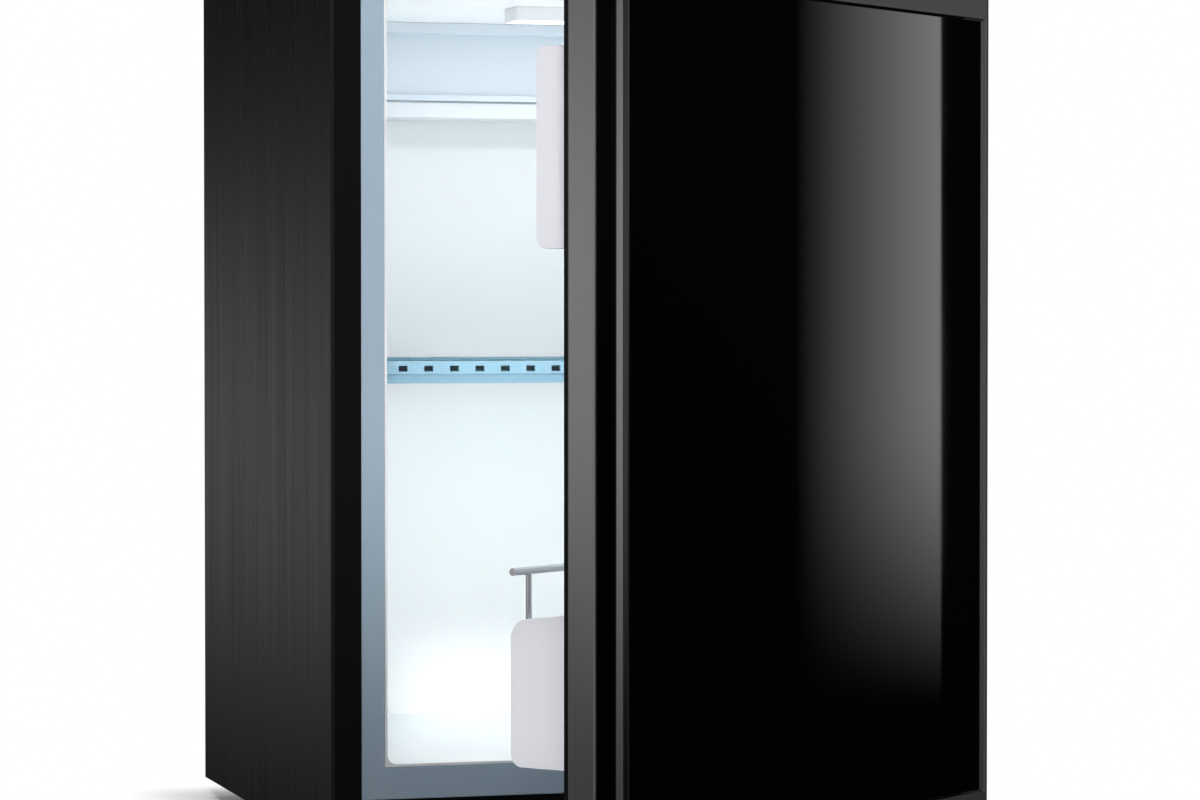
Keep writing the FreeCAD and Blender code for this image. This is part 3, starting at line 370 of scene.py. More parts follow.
@dataclass(frozen=True)
class Clear(Finish):
    """Glass: clear with a tint, or backed with paint."""

    through: float = 1.0
    ior: float = 1.5
    smear: Colour = (0.05, 0.05, 0.11)
    smear_detail: float = 4.0
    tint_spread: float = 0.06
    gloss_spread: float = 0.02

    def constants(self) -> Values:
        """How much light passes, and how it bends."""
        return {"Transmission Weight": self.through, "IOR": self.ior}

    def paint(self, coat: Coat) -> None:
        """A tint, and faint wiping marks in the gloss.

        Args:
            coat: The material under way.
        """
        smear = coat.noise(self.smear, self.smear_detail)
        self.shade(coat, smear, 1 - self.tint_spread, 1 + self.tint_spread)
        self.gloss(coat, smear, self.gloss_spread)


@lru_cache(maxsize=None)
def material_of(finish: Finish) -> bpy.types.Material:
    """The one material of a finish.

    Args:
        finish: The finish.

    Returns:
        Its material.
    """
    coat = Coat(finish.name)
    for key, value in finish.constants().items():
        coat.put(key, value)
    finish.paint(coat)
    return coat.material


DOOR_JOINT = next(item for item in frame["joints"] if item["name"] == "door_swing")
DOOR_TURN = math.radians(-DOOR_JOINT["range_deg"][0])
DOOR_AXIS = Matrix.Translation(DOOR_JOINT["pos_m"])
DOOR_REST = DOOR_AXIS @ Matrix.Rotation(DOOR_TURN, 4, "Z") @ DOOR_AXIS.inverted()

BLACK_STEEL = Brushed("brushed_black_steel", (0.007, 0.007, 0.0075), 0.3, metallic=0.0, streak=0.6,
                      run=(0.07, 0.0011, 0.07), depth=0.00007, specular=0.24,
                      broad_scale=7.0, broad_share=0.7, contrast=2.6, metal_spread=0.4)
RIM_BLACK = Moulded("satin_black_rim", (0.004, 0.004, 0.0045), 0.45, specular=0.06, grain=0.0009)
UNIT_BLACK = Moulded("lacquered_tube", (0.014, 0.014, 0.015), 0.35, grain=0.002, depth=0.00005, spread=0.2)
ZINC = Spangled("zinc_sheet", (0.42, 0.43, 0.44), 0.45)
# Light grey plastic breaker strip, coloured blue-grey as painted shade.
BREAKER_PAINTED_SHADE = Moulded("grey_breaker_painted_shade", (0.35, 0.45, 0.54), 0.5, grain=0.0005, specular=0.35)
LINER = Moulded("liner_white", (0.89, 0.895, 0.9), 0.38, grain=0.0012, depth=0.000015, spread=0.015)
# White plastic evaporator cover, coloured darker and bluer as painted shade.
COVER_PAINTED_SHADE = Moulded("cover_white_painted_shade", (0.66, 0.73, 0.80), 0.4, grain=0.001, spread=0.02)
BIN_WHITE = Moulded("bin_white", (0.90, 0.90, 0.96), 0.36, grain=0.0008, spread=0.02)
FOAM = Moulded("rigid_foam", (0.74, 0.66, 0.42), 0.9, grain=0.0015, depth=0.0003, spread=0.15,
               specular=0.2)
SHELF_GLASS = Clear("shelf_glass", (0.36, 0.64, 0.69), 0.03)
TRIM = Moulded("ice_blue_trim", (0.17, 0.30, 0.38), 0.28, grain=0.0006)
TRIM_PALE = Moulded("pale_trim_bead", (0.13, 0.23, 0.30), 0.25, grain=0.0006)
FIN_METAL = Brushed("bare_fins", (0.72, 0.73, 0.75), 0.38, metallic=1.0, streak=0.12)
DOOR_METAL = Brushed("anodised_stile", (0.23, 0.23, 0.237), 0.4, metallic=0.85, streak=0.14,
                     run=(0.0005, 0.0005, 0.15))
BEAD_METAL = replace(DOOR_METAL, name="anodised_bead", colour=(0.14, 0.14, 0.144))
RAIL_METAL = replace(DOOR_METAL, name="anodised_rail", colour=(0.22, 0.22, 0.226),
                     run=(0.15, 0.0005, 0.0005), turn=DOOR_TURN)
DOOR_GLASS = Clear("black_glass", (0.0012, 0.0012, 0.0014), 0.02, through=0.0)
SEAL = Moulded("seal_rubber", (0.007, 0.007, 0.0075), 0.6, grain=0.0006, depth=0.00004, spread=0.12,
               specular=0.12)
FOOT_RUBBER = Moulded("foot_rubber", (0.022, 0.022, 0.023), 0.7, grain=0.0012, depth=0.00006, spread=0.15)
STEEL = Brushed("screw_steel", (0.52, 0.52, 0.53), 0.3, metallic=1.0, streak=0.1, run=(0.0004,) * 3)
CHROME = Brushed("bright_rail", (0.72, 0.73, 0.75), 0.12, metallic=1.0, streak=0.03, depth=0.000002)
BLACK_PLASTIC = Moulded("black_plastic", (0.02, 0.02, 0.021), 0.55, grain=0.0008, depth=0.00005,
                        spread=0.12)
WHITE_PLASTIC = Moulded("white_plastic", (0.76, 0.79, 0.82), 0.42, spread=0.02)
LENS = Moulded("lamp_lens", (0.93, 0.97, 1.0), 0.35, grain=0.001, spread=0.01, glow=2.5)
BOARD = Moulded("lamp_board", (0.05, 0.22, 0.1), 0.5, grain=0.002, spread=0.2)
MAGNET = Moulded("magnet_strip", (0.05, 0.05, 0.05), 0.7, grain=0.001, spread=0.2)


def shown(name: str, bm: Draft, finish: Finish, body: Body,
          stands_for: Sequence[str] = (), crease: float = 35.0) -> None:
    """Make a piece from a mesh under way and put it on its body.

    Args:
        name: The piece's name.
        bm: The mesh under way, in the row frame; it is freed.
        finish: What it is dressed in.
        body: The body that it moves with.
        stands_for: The nodes that it replaces.
        crease: The angle above which an edge stays sharp, in degrees.
    """
    bmesh.ops.recalc_face_normals(bm, faces=bm.faces)
    mesh = bpy.data.meshes.new(name)
    bm.to_mesh(mesh)
    bm.free()
    mesh.shade_smooth()
    mesh.set_sharp_from_angle(angle=math.radians(crease))
    mesh.materials.append(material_of(finish))
    piece = bpy.data.objects.new(name, mesh)
    bpy.context.scene.collection.objects.link(piece)
    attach(piece, body.value)
    if stands_for:
        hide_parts(*stands_for)
    LOG.info("piece %s on %s", name, body.value)


def dress(finish: Finish, *nodes: str) -> None:
    """Give nodes a finish.

    Args:
        finish: The finish.
        nodes: The nodes' names.
    """
    for name in nodes:
        piece = frame["nodes"][name]
        if not piece.material_slots:
            piece.data.materials.append(None)
        for holder in piece.material_slots:
            holder.material = material_of(finish)


def ease(width: float, *nodes: str) -> None:
    """Take the sharpness off the edges of nodes.

    Args:
        width: The width of the eased edge, in metres.
        nodes: The nodes' names.
    """
    for name in nodes:
        piece = frame["nodes"][name]
        weld = piece.modifiers.new("weld", "WELD")
        weld.merge_threshold = WELD_REACH
        plane = piece.modifiers.new("plane", "DECIMATE")
        plane.decimate_type = "DISSOLVE"
        plane.angle_limit = FLAT_ANGLE
        edge = piece.modifiers.new("edge", "BEVEL")
        edge.width = width
        edge.segments = EASE_STEPS
        edge.limit_method = "ANGLE"
        edge.angle_limit = SHARP_ANGLE
        edge.use_clamp_overlap = True
        light = piece.modifiers.new("light", "WEIGHTED_NORMAL")
        light.keep_sharp = False


def box_of(points: Iterable[Vector]) -> tuple[Vector, Vector]:
    """The lowest and the highest corner of points."""
    columns = list(zip(*points))
    return Vector([min(column) for column in columns]), Vector([max(column) for column in columns])


def corners_of(across: Pair, along: Pair) -> list[Pair]:
    """The corners of a rectangle, in order round it from where both pairs start."""
    return [(across[one], along[two]) for one, two in ((0, 0), (1, 0), (1, 1), (0, 1))]


def islands(node: str) -> list[tuple[Vector, Vector]]:
    """The boxes of a node's separate solids.

    Args:
        node: The node's name.

    Returns:
        The lowest and highest corner of each solid.
    """
    bm = bmesh.new()
    bm.from_mesh(frame["nodes"][node].data)
    bmesh.ops.remove_doubles(bm, verts=bm.verts, dist=WELD_REACH)
    waiting = set(bm.verts)
    boxes = []
    while waiting:
        found = [waiting.pop()]
        for vert in found:
            near = {edge.other_vert(vert) for edge in vert.link_edges} & waiting
            waiting -= near
            found.extend(near)
        boxes.append(box_of(vert.co for vert in found))
    bm.free()
    return boxes


def bridge(bm: Draft, first: Sequence, second: Sequence) -> None:
    """Join two loops of vertices by a belt of faces; a loop of one vertex makes a fan.

    Args:
        bm: The mesh under way.
        first: The first loop's vertices.
        second: The second loop's vertices.
    """
    sides = max(len(first), len(second))
    for index in range(sides):
        after = (index + 1) % sides
        belt = (first[index % len(first)], second[index % len(second)],
                second[after % len(second)], first[after % len(first)])
        bm.faces.new(tuple(dict.fromkeys(belt)))


def lathe(bm: Draft, rings: Sequence[tuple], where: Matrix, sides: int,
          lobes: int = 6) -> None:
    """Turn a profile about an axis; a ring may be lobed.

    Args:
        bm: The mesh under way.
        rings: Radius, height and lobe depth of each ring, from the axis to the axis or closed.
        where: The frame whose Z is the axis.
        sides: How many sides a ring has.
        lobes: How many lobes a lobed ring has.
    """
    loops = []
    for radius, height, lobe in rings:
        loop = []
        for index in range(sides if radius else 1):
            angle = math.tau * index / sides
            reach = radius * (1 + lobe * math.cos(lobes * angle))
            loop.append(bm.verts.new(where @ Vector((
                reach * math.cos(angle), reach * math.sin(angle), height))))
        loops.append(loop)
    for first, second in zip(loops, loops[1:]):
        bridge(bm, first, second)


def stack(bm: Draft, layers: Sequence[tuple[Outline, float]], where: Matrix) -> None:
    """Join outlines at heights along an axis, closed at both ends.

    Args:
        bm: The mesh under way.
        layers: Each outline, in the frame's X and Y, with its height.
        where: The frame whose Z is the axis.
    """
    loops = [[bm.verts.new(where @ Vector((x, y, height))) for x, y in outline]
             for outline, height in layers]
    bm.faces.new(loops[0])
    bm.faces.new(loops[-1])
    for first, second in zip(loops, loops[1:]):
        bridge(bm, first, second)


def prism(bm: Draft, outline: Outline, where: Matrix, length: float) -> None:
    """Draw an outline out along an axis."""
    stack(bm, ((outline, 0.0), (outline, length)), where)


def facing(place: Vector, axis: Vector) -> Matrix:
    """A frame at a place whose Z points along an axis."""
    return Matrix.Translation(place) @ axis.to_track_quat("Z", "Y").to_matrix().to_4x4()


def stadium(length: float, width: float, steps: int = 6) -> list[Pair]:
    """A bar's outline with round ends.

    Args:
        length: Its whole length, along X.
        width: Its width.
        steps: Sides in each quarter of an end.

    Returns:
        The outline's points.
    """
    points = []
    half = (length - width) / 2
    for index in range(steps * 4):
        angle = math.tau * (index + 0.5) / (steps * 4)
        side = half if math.cos(angle) > 0 else -half
        points.append((side + width / 2 * math.cos(angle), width / 2 * math.sin(angle)))
    return points


@dataclass
class Fasteners:
    """Screws with round heads and six-lobed sockets, in place of plain ones."""

    groups: tuple[tuple[str, Body, float, Sequence[Vector]], ...] = (
        ("hinge_screws", Body.CABINET, 2.2 * MM, (UP, DOWN)),
        ("back_panel_screws", Body.CABINET, 2.0 * MM, (REAR,)),
        ("unit_screws", Body.CABINET, 2.0 * MM, (REAR,)),
        ("door_screws", Body.DOOR, 2.0 * MM, (UP, DOWN)),
        ("foot_screws", Body.CABINET, 3.0 * MM, (DOWN,)),
    )
    shank_share: float = 0.5
    head_shares: Outline = ((1.0, 0.4), (0.96, 0.68), (0.86, 0.9), (0.72, 1.0))
    socket_shares: Outline = ((0.5, 1.0), (0.46, 0.93), (0.43, 0.4))
    lobe: float = 0.12
    sides: int = 48

    def group(self, node: str, body: Body, head: float, axes: Sequence[Vector]) -> None:
        """Make all the screws of a node.

        Args:
            node: The node that they replace.
            body: The body that they ride on.
            head: Their heads' height.
            axes: The ways that heads may face; the one nearer to the outside is taken.
        """
        bm = bmesh.new()
        centre = (CAD_BOX[0] + CAD_BOX[1]) / 2
        for low, high in islands(node):
            middle = (low + high) / 2
            outward = middle - centre
            axis = max(axes, key=lambda way: way.dot(outward))
            along = max(range(3), key=lambda index: abs(axis[index]))
            across = (along + 1) % 3
            radius = (high[across] - low[across]) / 2
            length = high[along] - low[along] - head
            shank = radius * self.shank_share
            rings = [(0, -length, 0), (shank, -length, 0), (shank, 0, 0), (radius, 0, 0)]
            rings += [(radius * wide, head * up, 0) for wide, up in self.head_shares]
            rings += [(radius * wide, head * up, self.lobe) for wide, up in self.socket_shares]
            rings.append((0, head * self.socket_shares[-1][1], 0))
            lathe(bm, rings, facing(middle + axis * ((length - head) / 2), axis), self.sides)
        shown(node + "_detailed", bm, STEEL, body, [node])

    def build(self) -> None:
        """Make every group of screws."""
        for group in self.groups:
            self.group(*group)


@dataclass
class Carcass:
    """The steel wrap, rim, base, back and feet."""

    edge: float = 0.4 * MM
    groove: float = 0.8 * MM
    sole_bevel: float = 1.5 * MM
    sink_radius: float = 4.0 * MM
    sink_depth: float = 4.0 * MM
    rib_shares: tuple[float, ...] = (0.3, 0.55, 0.8)
    sides: int = 64

    def feet(self) -> None:
        """Ribbed rubber feet."""
        bm = bmesh.new()
        for low, high in islands("feet"):
            radius = (high.x - low.x) / 2
            tall = high.z - low.z
            waist = radius - self.groove
            rings = [(0, self.sink_depth, 0), (self.sink_radius, self.sink_depth, 0),
                     (self.sink_radius, 0, 0), (radius - self.sole_bevel, 0, 0),
                     (radius, self.sole_bevel, 0)]
            for share in self.rib_shares:
                middle = tall * share
                rings += [(radius, middle - self.groove, 0), (waist, middle - self.groove / 2, 0),
                          (waist, middle + self.groove / 2, 0), (radius, middle + self.groove, 0)]
            rings += [(radius, tall, 0), (0, tall, 0)]
            place = Vector((*(low + high).xy / 2, low.z))
            lathe(bm, rings, Matrix.Translation(place), self.sides)
        shown("feet_ribbed", bm, FOOT_RUBBER, Body.CABINET, ["feet"])

    def build(self) -> None:
        """Dress the carcass and make its feet."""
        dress(BLACK_STEEL, "cabinet_wrap")
        dress(RIM_BLACK, "front_frame", "top_hinge_plate", "bottom_hinge_plate")
        dress(ZINC, "base_pan", "back_panel")
        dress(FOAM, "foam_core")
        dress(STEEL, "top_hinge_pin", "bottom_hinge_pin")
        dress(BLACK_PLASTIC, "reed_switch")
        ease(self.edge, "front_frame", "top_hinge_plate", "bottom_hinge_plate")
        self.feet()


@dataclass
class Interior:
    """The liner, shelf, evaporator, lamp and thermostat."""

    edge: float = 0.6 * MM
    box_edge: float = 1.2 * MM
    rib_count: int = 36
    rib_depth: float = 0.9 * MM
    rib_crease: float = 20.0
    dial_disc: float = 6.0 * MM
    dial_grip: float = 5.0 * MM
    dial_knurls: int = 40
    knurl_sides: int = 4
    shaft_share: float = 0.2
    dish_share: float = 0.9
    dial_shares: Sequence[tuple[float, float, float]] = (
        (0.94, 0.0, 0.0), (0.978, 0.1, 0.02), (0.978, 0.7, 0.02), (0.93, 0.9, 0.0),
        (0.86, 1.0, 0.0), (0.8, 1.0, 0.0), (0.76, 0.9, 0.0), (0.0, 0.9, 0.0))
    grip_shares: Pair = (1.7, 0.34)
    crown_shares: Pair = (0.95, 0.72)
    shoulder_share: float = 0.75
    tick_count: int = 7
    tick_sweep: float = 135.0
    tick_length: float = 3.4 * MM
    tick_width: float = 0.9 * MM
    tick_rise: float = 0.25 * MM
    tick_gap: float = 2.6 * MM
    tick_steps: int = 3
    bead_low: float = 0.5 * MM
    bead_tall: float = 5.2 * MM
    bead_proud: float = 0.8 * MM
    strip_inset: float = 0.8 * MM
    strip_width: float = 6.0 * MM

    def lens(self) -> None:
        """Lamp lens with prism ribs across it."""
        low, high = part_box("light_lens")
        length = high.x - low.x
        points = [(0.0, high.z - low.z)]
        for index in range(self.rib_count * 2 + 1):
            rise = self.rib_depth if index % 2 else 0.0
            points.append((length * index / (self.rib_count * 2), rise))
        points.append((length, high.z - low.z))
        bm = bmesh.new()
        turn = Matrix(((1, 0, 0, low.x), (0, 0, 1, low.y), (0, 1, 0, low.z), (0, 0, 0, 1)))
        prism(bm, points, turn, high.y - low.y)
        shown("lamp_lens_ribbed", bm, LENS, Body.CABINET, ["light_lens"], self.rib_crease)

    def trim_bead(self) -> None:
        """Rounded rail along the lower half of the shelf's front trim."""
        low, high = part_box("shelf_front_trim")
        bm = bmesh.new()
        rail = stadium(self.bead_tall, self.bead_proud * 2)
        middle = low.z + self.bead_low + self.bead_tall / 2
        turn = Matrix(((0, 0, 1, low.x), (0, 1, 0, low.y), (1, 0, 0, middle), (0, 0, 0, 1)))
        prism(bm, rail, turn, high.x - low.x)
        shown("shelf_trim_bead", bm, TRIM_PALE, Body.CABINET)

    def tray_strip(self) -> None:
        """Pale strip that closes the gap over the drip tray, a little back from its front."""
        tray_low, tray_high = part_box("drip_tray")
        cover_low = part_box("evaporator_cover")[0]
        gap = cover_low.z - tray_high.z
        if gap <= 0:
            return
        bm = bmesh.new()
        front = max(tray_low.y, cover_low.y) + self.strip_inset + self.strip_width / 2
        level = tray_high.z + gap / 2
        turn = Matrix(((0, 0, 1, tray_low.x), (1, 0, 0, front), (0, 1, 0, level), (0, 0, 0, 1)))
        prism(bm, stadium(self.strip_width, gap), turn, tray_high.x - tray_low.x)
        shown("drip_tray_strip", bm, WHITE_PLASTIC, Body.CABINET)

    def dial(self) -> None:
        """Knurled dial with a grip bar, and ticks round it."""
        low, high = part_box("thermostat_dial")
        radius = (high.z - low.z) / 2
        seat = Vector((low.x + self.dial_grip + self.dial_disc, *(low + high).yz / 2))
        outward = facing(seat, INTO_ROOM)
        tall = self.dial_disc
        dish = tall * self.dish_share
        depth = high.x - seat.x
        shaft = radius * self.shaft_share
        rings = [(0, -depth, 0), (shaft, -depth, 0), (shaft, 0, 0)]
        rings += [(radius * across, tall * up, lobe) for across, up, lobe in self.dial_shares]
        bm = bmesh.new()
        lathe(bm, rings, outward, self.dial_knurls * self.knurl_sides, self.dial_knurls)
        length, width = (radius * share for share in self.grip_shares)
        bar = [(x, y) for y, x in stadium(length, width)]
        crown = [(x * self.crown_shares[1], y * self.crown_shares[0]) for x, y in bar]
        rise = self.dial_grip + tall - dish
        layers = ((bar, 0.0), (bar, rise * self.shoulder_share), (crown, rise))
        stack(bm, layers, outward @ Matrix.Translation((0, 0, dish)))
        shown("thermostat_dial_knurled", bm, WHITE_PLASTIC, Body.DIAL, ["thermostat_dial"])
        self.ticks(seat, radius)

    def ticks(self, seat: Vector, radius: float) -> None:
        """Raised ticks on the housing round the dial.

        Args:
            seat: The middle of the dial's back.
            radius: The dial's radius.
        """
        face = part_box("thermostat_housing")[0].x
        tick = stadium(self.tick_length, self.tick_width, self.tick_steps)
        away = radius + self.tick_gap + self.tick_length / 2
        bm = bmesh.new()
        for index in range(self.tick_count):
            angle = math.radians(self.tick_sweep * (2 * index / (self.tick_count - 1) - 1))
            out = Vector((0, math.sin(angle), math.cos(angle)))
            turn = Matrix((out, INTO_ROOM.cross(out), INTO_ROOM)).transposed().to_4x4()
            place = Vector((face, seat.y, seat.z)) + out * away
            prism(bm, tick, Matrix.Translation(place) @ turn, self.tick_rise)
        shown("thermostat_ticks", bm, BLACK_PLASTIC, Body.CABINET)

    def build(self) -> None:
        """Dress the inside and make its small parts."""
        # The breaker strip's blue-grey is painted shade on light grey plastic.
        dress(BREAKER_PAINTED_SHADE, "breaker_strip")
        dress(LINER, "inner_liner")
        # The evaporator cover's blue-grey is painted shade on white plastic.
        dress(COVER_PAINTED_SHADE, "evaporator_cover")
        dress(SHELF_GLASS, "shelf_glass")
        dress(TRIM, "shelf_front_trim", "shelf_rear_trim")
        dress(FIN_METAL, "evaporator_fins")
        dress(WHITE_PLASTIC, "drip_tray", "drain_tube", "light_housing", "thermostat_housing")
        dress(BOARD, "led_board")
        ease(self.edge, "breaker_strip", "evaporator_cover", "drip_tray", "light_housing",
             "shelf_front_trim", "shelf_rear_trim")
        ease(self.box_edge, "thermostat_housing")
        self.lens()
        self.trim_bead()
        self.tray_strip()
        self.dial()


@dataclass
class Door:
    """The door's shell, seal and bins."""

    edge: float = 0.5 * MM
    bin_edge: float = 0.8 * MM
    seal_width: float = 12.0 * MM
    seal_crease: float = 50.0
    seal_half_shares: Outline = (
        (0.98, 0.0), (1.0, 0.1), (0.98, 0.2), (0.86, 0.25), (0.74, 0.31), (0.7, 0.38), (0.76, 0.45),
        (0.9, 0.49), (0.98, 0.55), (1.0, 0.66), (1.0, 0.84), (0.98, 0.95), (0.92, 1.0), (0.74, 1.0),
        (0.62, 0.975))
    seal_crown_share: float = 0.965
    groove_front: float = 5.3 * MM
    groove_width: float = 13.3 * MM
    groove_depth: float = 16.0 * MM
    # Thickness of the black lining that paints shade into the grip groove.
    shade_skin: float = 0.4 * MM
    shade_skin_inset: float = 1.8 * MM
    bead_width: float = 6.4 * MM
    bead_depth: float = 8.0 * MM
    bead_setback: float = 0.6 * MM
    bead_share: float = 0.45

    def shut_box(self, node: str) -> tuple[Vector, Vector]:
        """The box of a node with the door shut."""
        back = DOOR_REST.inverted()
        return box_of(back @ vert.co for vert in frame["nodes"][node].data.vertices)

    def seal(self) -> None:
        """Bellows seal: a foot, a fold on each side and a soft head, mitred at the corners."""
        low, high = self.shut_box("door_gasket")
        half = list(self.seal_half_shares)
        mirrored = [(1 - across, deep) for across, deep in reversed(half)]
        shares = half + [(0.5, self.seal_crown_share)] + mirrored
        bm = bmesh.new()
        corners = []
        for side, end in corners_of((0, 1), (0, 1)):
            loop = []
            for across, deep in shares:
                inset = across * self.seal_width
                x = high.x - inset if side else low.x + inset
                z = high.z - inset if end else low.z + inset
                y = low.y + deep * (high.y - low.y)
                loop.append(bm.verts.new(DOOR_REST @ Vector((x, y, z))))
            corners.append(loop)
        for first, second in zip(corners, corners[1:] + corners[:1]):
            bridge(bm, first, second)
        shown("door_seal_bellows", bm, SEAL, Body.DOOR, ["door_gasket"], self.seal_crease)

    def upright(self, name: str, outline: Outline, low: float, high: float, finish: Finish) -> None:
        """A strip that runs up the door, by its outline in X and Y with the door shut."""
        bm = bmesh.new()
        prism(bm, outline, DOOR_REST @ Matrix.Translation((0, 0, low)), high - low)
        shown(name, bm, finish, Body.DOOR)

    def grip_shade_lining(self) -> None:
        """Black lining in the grip groove of the free edge, a painted shade of the recess."""
        low, high = self.shut_box("door_handle_stile")
        front = low.y + self.groove_front
        back = front + self.groove_width
        deep = low.x + self.groove_depth
        edge = low.x + self.shade_skin_inset
        skin = self.shade_skin
        outline = [(edge, front), (deep, front), (deep, back), (edge, back), (edge, back - skin),
                   (deep - skin, back - skin), (deep - skin, front + skin), (edge, front + skin)]
        self.upright("grip_shade_lining", outline, low.z, high.z, RIM_BLACK)

    def hinge_bead(self) -> None:
        """Rounded bead along the hinge edge of the door's face."""
        side = self.shut_box("door_hinge_stile")[1].x
        face = self.shut_box("door_glass")[0].y + self.bead_setback
        middle = face + self.bead_depth / 2
        centre = side + self.bead_width * self.bead_share
        outline = [(centre + y, middle + x) for x, y in stadium(self.bead_depth, self.bead_width)]
        bottom = self.shut_box("door_bottom_rail")[0].z
        top = self.shut_box("door_top_rail")[1].z
        self.upright("hinge_edge_bead", outline, bottom, top, BEAD_METAL)

    def build(self) -> None:
        """Dress the door and make its seal, its groove lining of painted shade, and its bead."""
        dress(DOOR_GLASS, "door_glass")
        dress(DOOR_METAL, "door_handle_stile", "door_hinge_stile")
        dress(RAIL_METAL, "door_top_rail", "door_bottom_rail")
        dress(RIM_BLACK, "door_skin")
        dress(FOAM, "door_foam")
        dress(LINER, "door_liner")
        dress(MAGNET, "door_magnet", "gasket_magnets")
        dress(WHITE_PLASTIC, "top_hinge_bush", "bottom_hinge_bush")
        dress(BIN_WHITE, "upper_bin", "lower_bin")
        dress(CHROME, "lower_bin_rail")
        ease(self.edge, "door_top_rail", "door_bottom_rail", "door_handle_stile", "door_hinge_stile")
        ease(self.bin_edge, "upper_bin", "lower_bin")
        self.seal()
        # The black grip lining is painted shade in the groove.
        self.grip_shade_lining()
        self.hinge_bead()


@dataclass
class CoolingUnit:
    """The tubes, boiler and vessel behind the back panel, and the supply box."""

    band: Pair = (9.0 * MM, 0.7 * MM)
    collar: Pair = (3.0 * MM, 1.1 * MM)
    band_shares: Pair = (0.2, 0.8)
    shoulder_share: float = 0.5
    flat_share: float = 0.7
    sides: int = 48
    box_edge: float = 0.8 * MM

    def hoop(self, bm: Draft, place: Vector, axis: Vector, radius: float, size: Pair) -> None:
        """A rounded hoop round a tube.

        Args:
            bm: The mesh under way.
            place: The hoop's middle.
            axis: The tube's axis.
            radius: The tube's radius.
            size: The hoop's width along the tube, and how far it stands out.
        """
        half = size[0] / 2
        rise = size[1]
        flat = half * self.flat_share
        inner, shoulder, outer = (radius + rise * share for share in (-1, self.shoulder_share, 1))
        rings = [(inner, -half, 0), (shoulder, -half, 0), (outer, -flat, 0), (outer, flat, 0),
                 (shoulder, half, 0), (inner, half, 0), (inner, -half, 0)]
        lathe(bm, rings, facing(place, axis), self.sides)
        bmesh.ops.remove_doubles(bm, verts=bm.verts, dist=WELD_REACH)

    def bands(self) -> None:
        """Two clamp bands round the boiler's jacket."""
        low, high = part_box("boiler_jacket")
        radius = (high.x - low.x) / 2
        bm = bmesh.new()
        for share in self.band_shares:
            place = Vector((*(low + high).xy / 2, low.z + (high.z - low.z) * share))
            self.hoop(bm, place, UP, radius, self.band)
        shown("boiler_bands", bm, STEEL, Body.CABINET)

    def collars(self) -> None:
        """Weld beads where the tubes meet the boiler and the vessel."""
        pump_low, pump_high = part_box("pump_tube")
        pipe_low, pipe_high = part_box("liquid_tube")
        pump = (pump_low + pump_high) / 2
        pipe = (pipe_low + pipe_high) / 2
        radius = (pump_high.x - pump_low.x) / 2
        bm = bmesh.new()
        width = self.collar[0]
        for z in (pump_low.z + width / 2, pump_high.z - width / 2):
            self.hoop(bm, Vector((*pump.xy, z)), UP, radius, self.collar)
        for x in (pipe_low.x + width / 2, pipe_high.x - width):
            self.hoop(bm, Vector((x, *pipe.yz)), RIGHT, radius, self.collar)
        shown("weld_collars", bm, UNIT_BLACK, Body.CABINET)

    def build(self) -> None:
        """Dress the unit and add its bands and welds."""
        dress(ZINC, "boiler_jacket", "unit_brackets")
        dress(STEEL, "heater_cartridge")
        dress(UNIT_BLACK, "pump_tube", "liquid_tube", "condenser_tube", "absorber_coil", "absorber_vessel",
              "evaporator_tube")
        dress(FIN_METAL, "condenser_fins")
        dress(BLACK_PLASTIC, "junction_box", "junction_cover", "cable_gland")
        ease(self.box_edge, "junction_box", "junction_cover")
        self.bands()
        self.collars()


@dataclass
class Lamp:
    """A soft lamp and where it aims."""

    name: str
    place: Sequence[float]
    aim: Sequence[float]
    size: Pair
    power: float
    spread: float = 180.0

    def build(self) -> None:
        """Put the lamp up."""
        data = bpy.data.lights.new(self.name, "AREA")
        data.shape = "RECTANGLE"
        data.size, data.size_y = self.size
        data.energy = self.power
        data.spread = math.radians(self.spread)
        lamp = bpy.data.objects.new(self.name, data)
        lamp.location = self.place
        lamp.rotation_euler = (Vector(self.aim) - Vector(self.place)).to_track_quat("-Z", "Y").to_euler()
        lamp.visible_camera = False
        lamp.visible_glossy = False
        bpy.context.scene.collection.objects.link(lamp)


@dataclass(frozen=True)
class ShadedCard:
    """An upright card to the left of the fridge, with a soft band of light across it."""

    name: str
    x: float
    depths: Pair
    heights: Pair
    rise_shares: Pair
    fall_shares: Pair
    dim: float
    glow: float

    def corners(self) -> list[Vector]:
        """Its corners: top left, top right, bottom right and bottom left."""
        return [Vector((self.x, y, z)) for y, z in corners_of(self.depths, self.heights)]


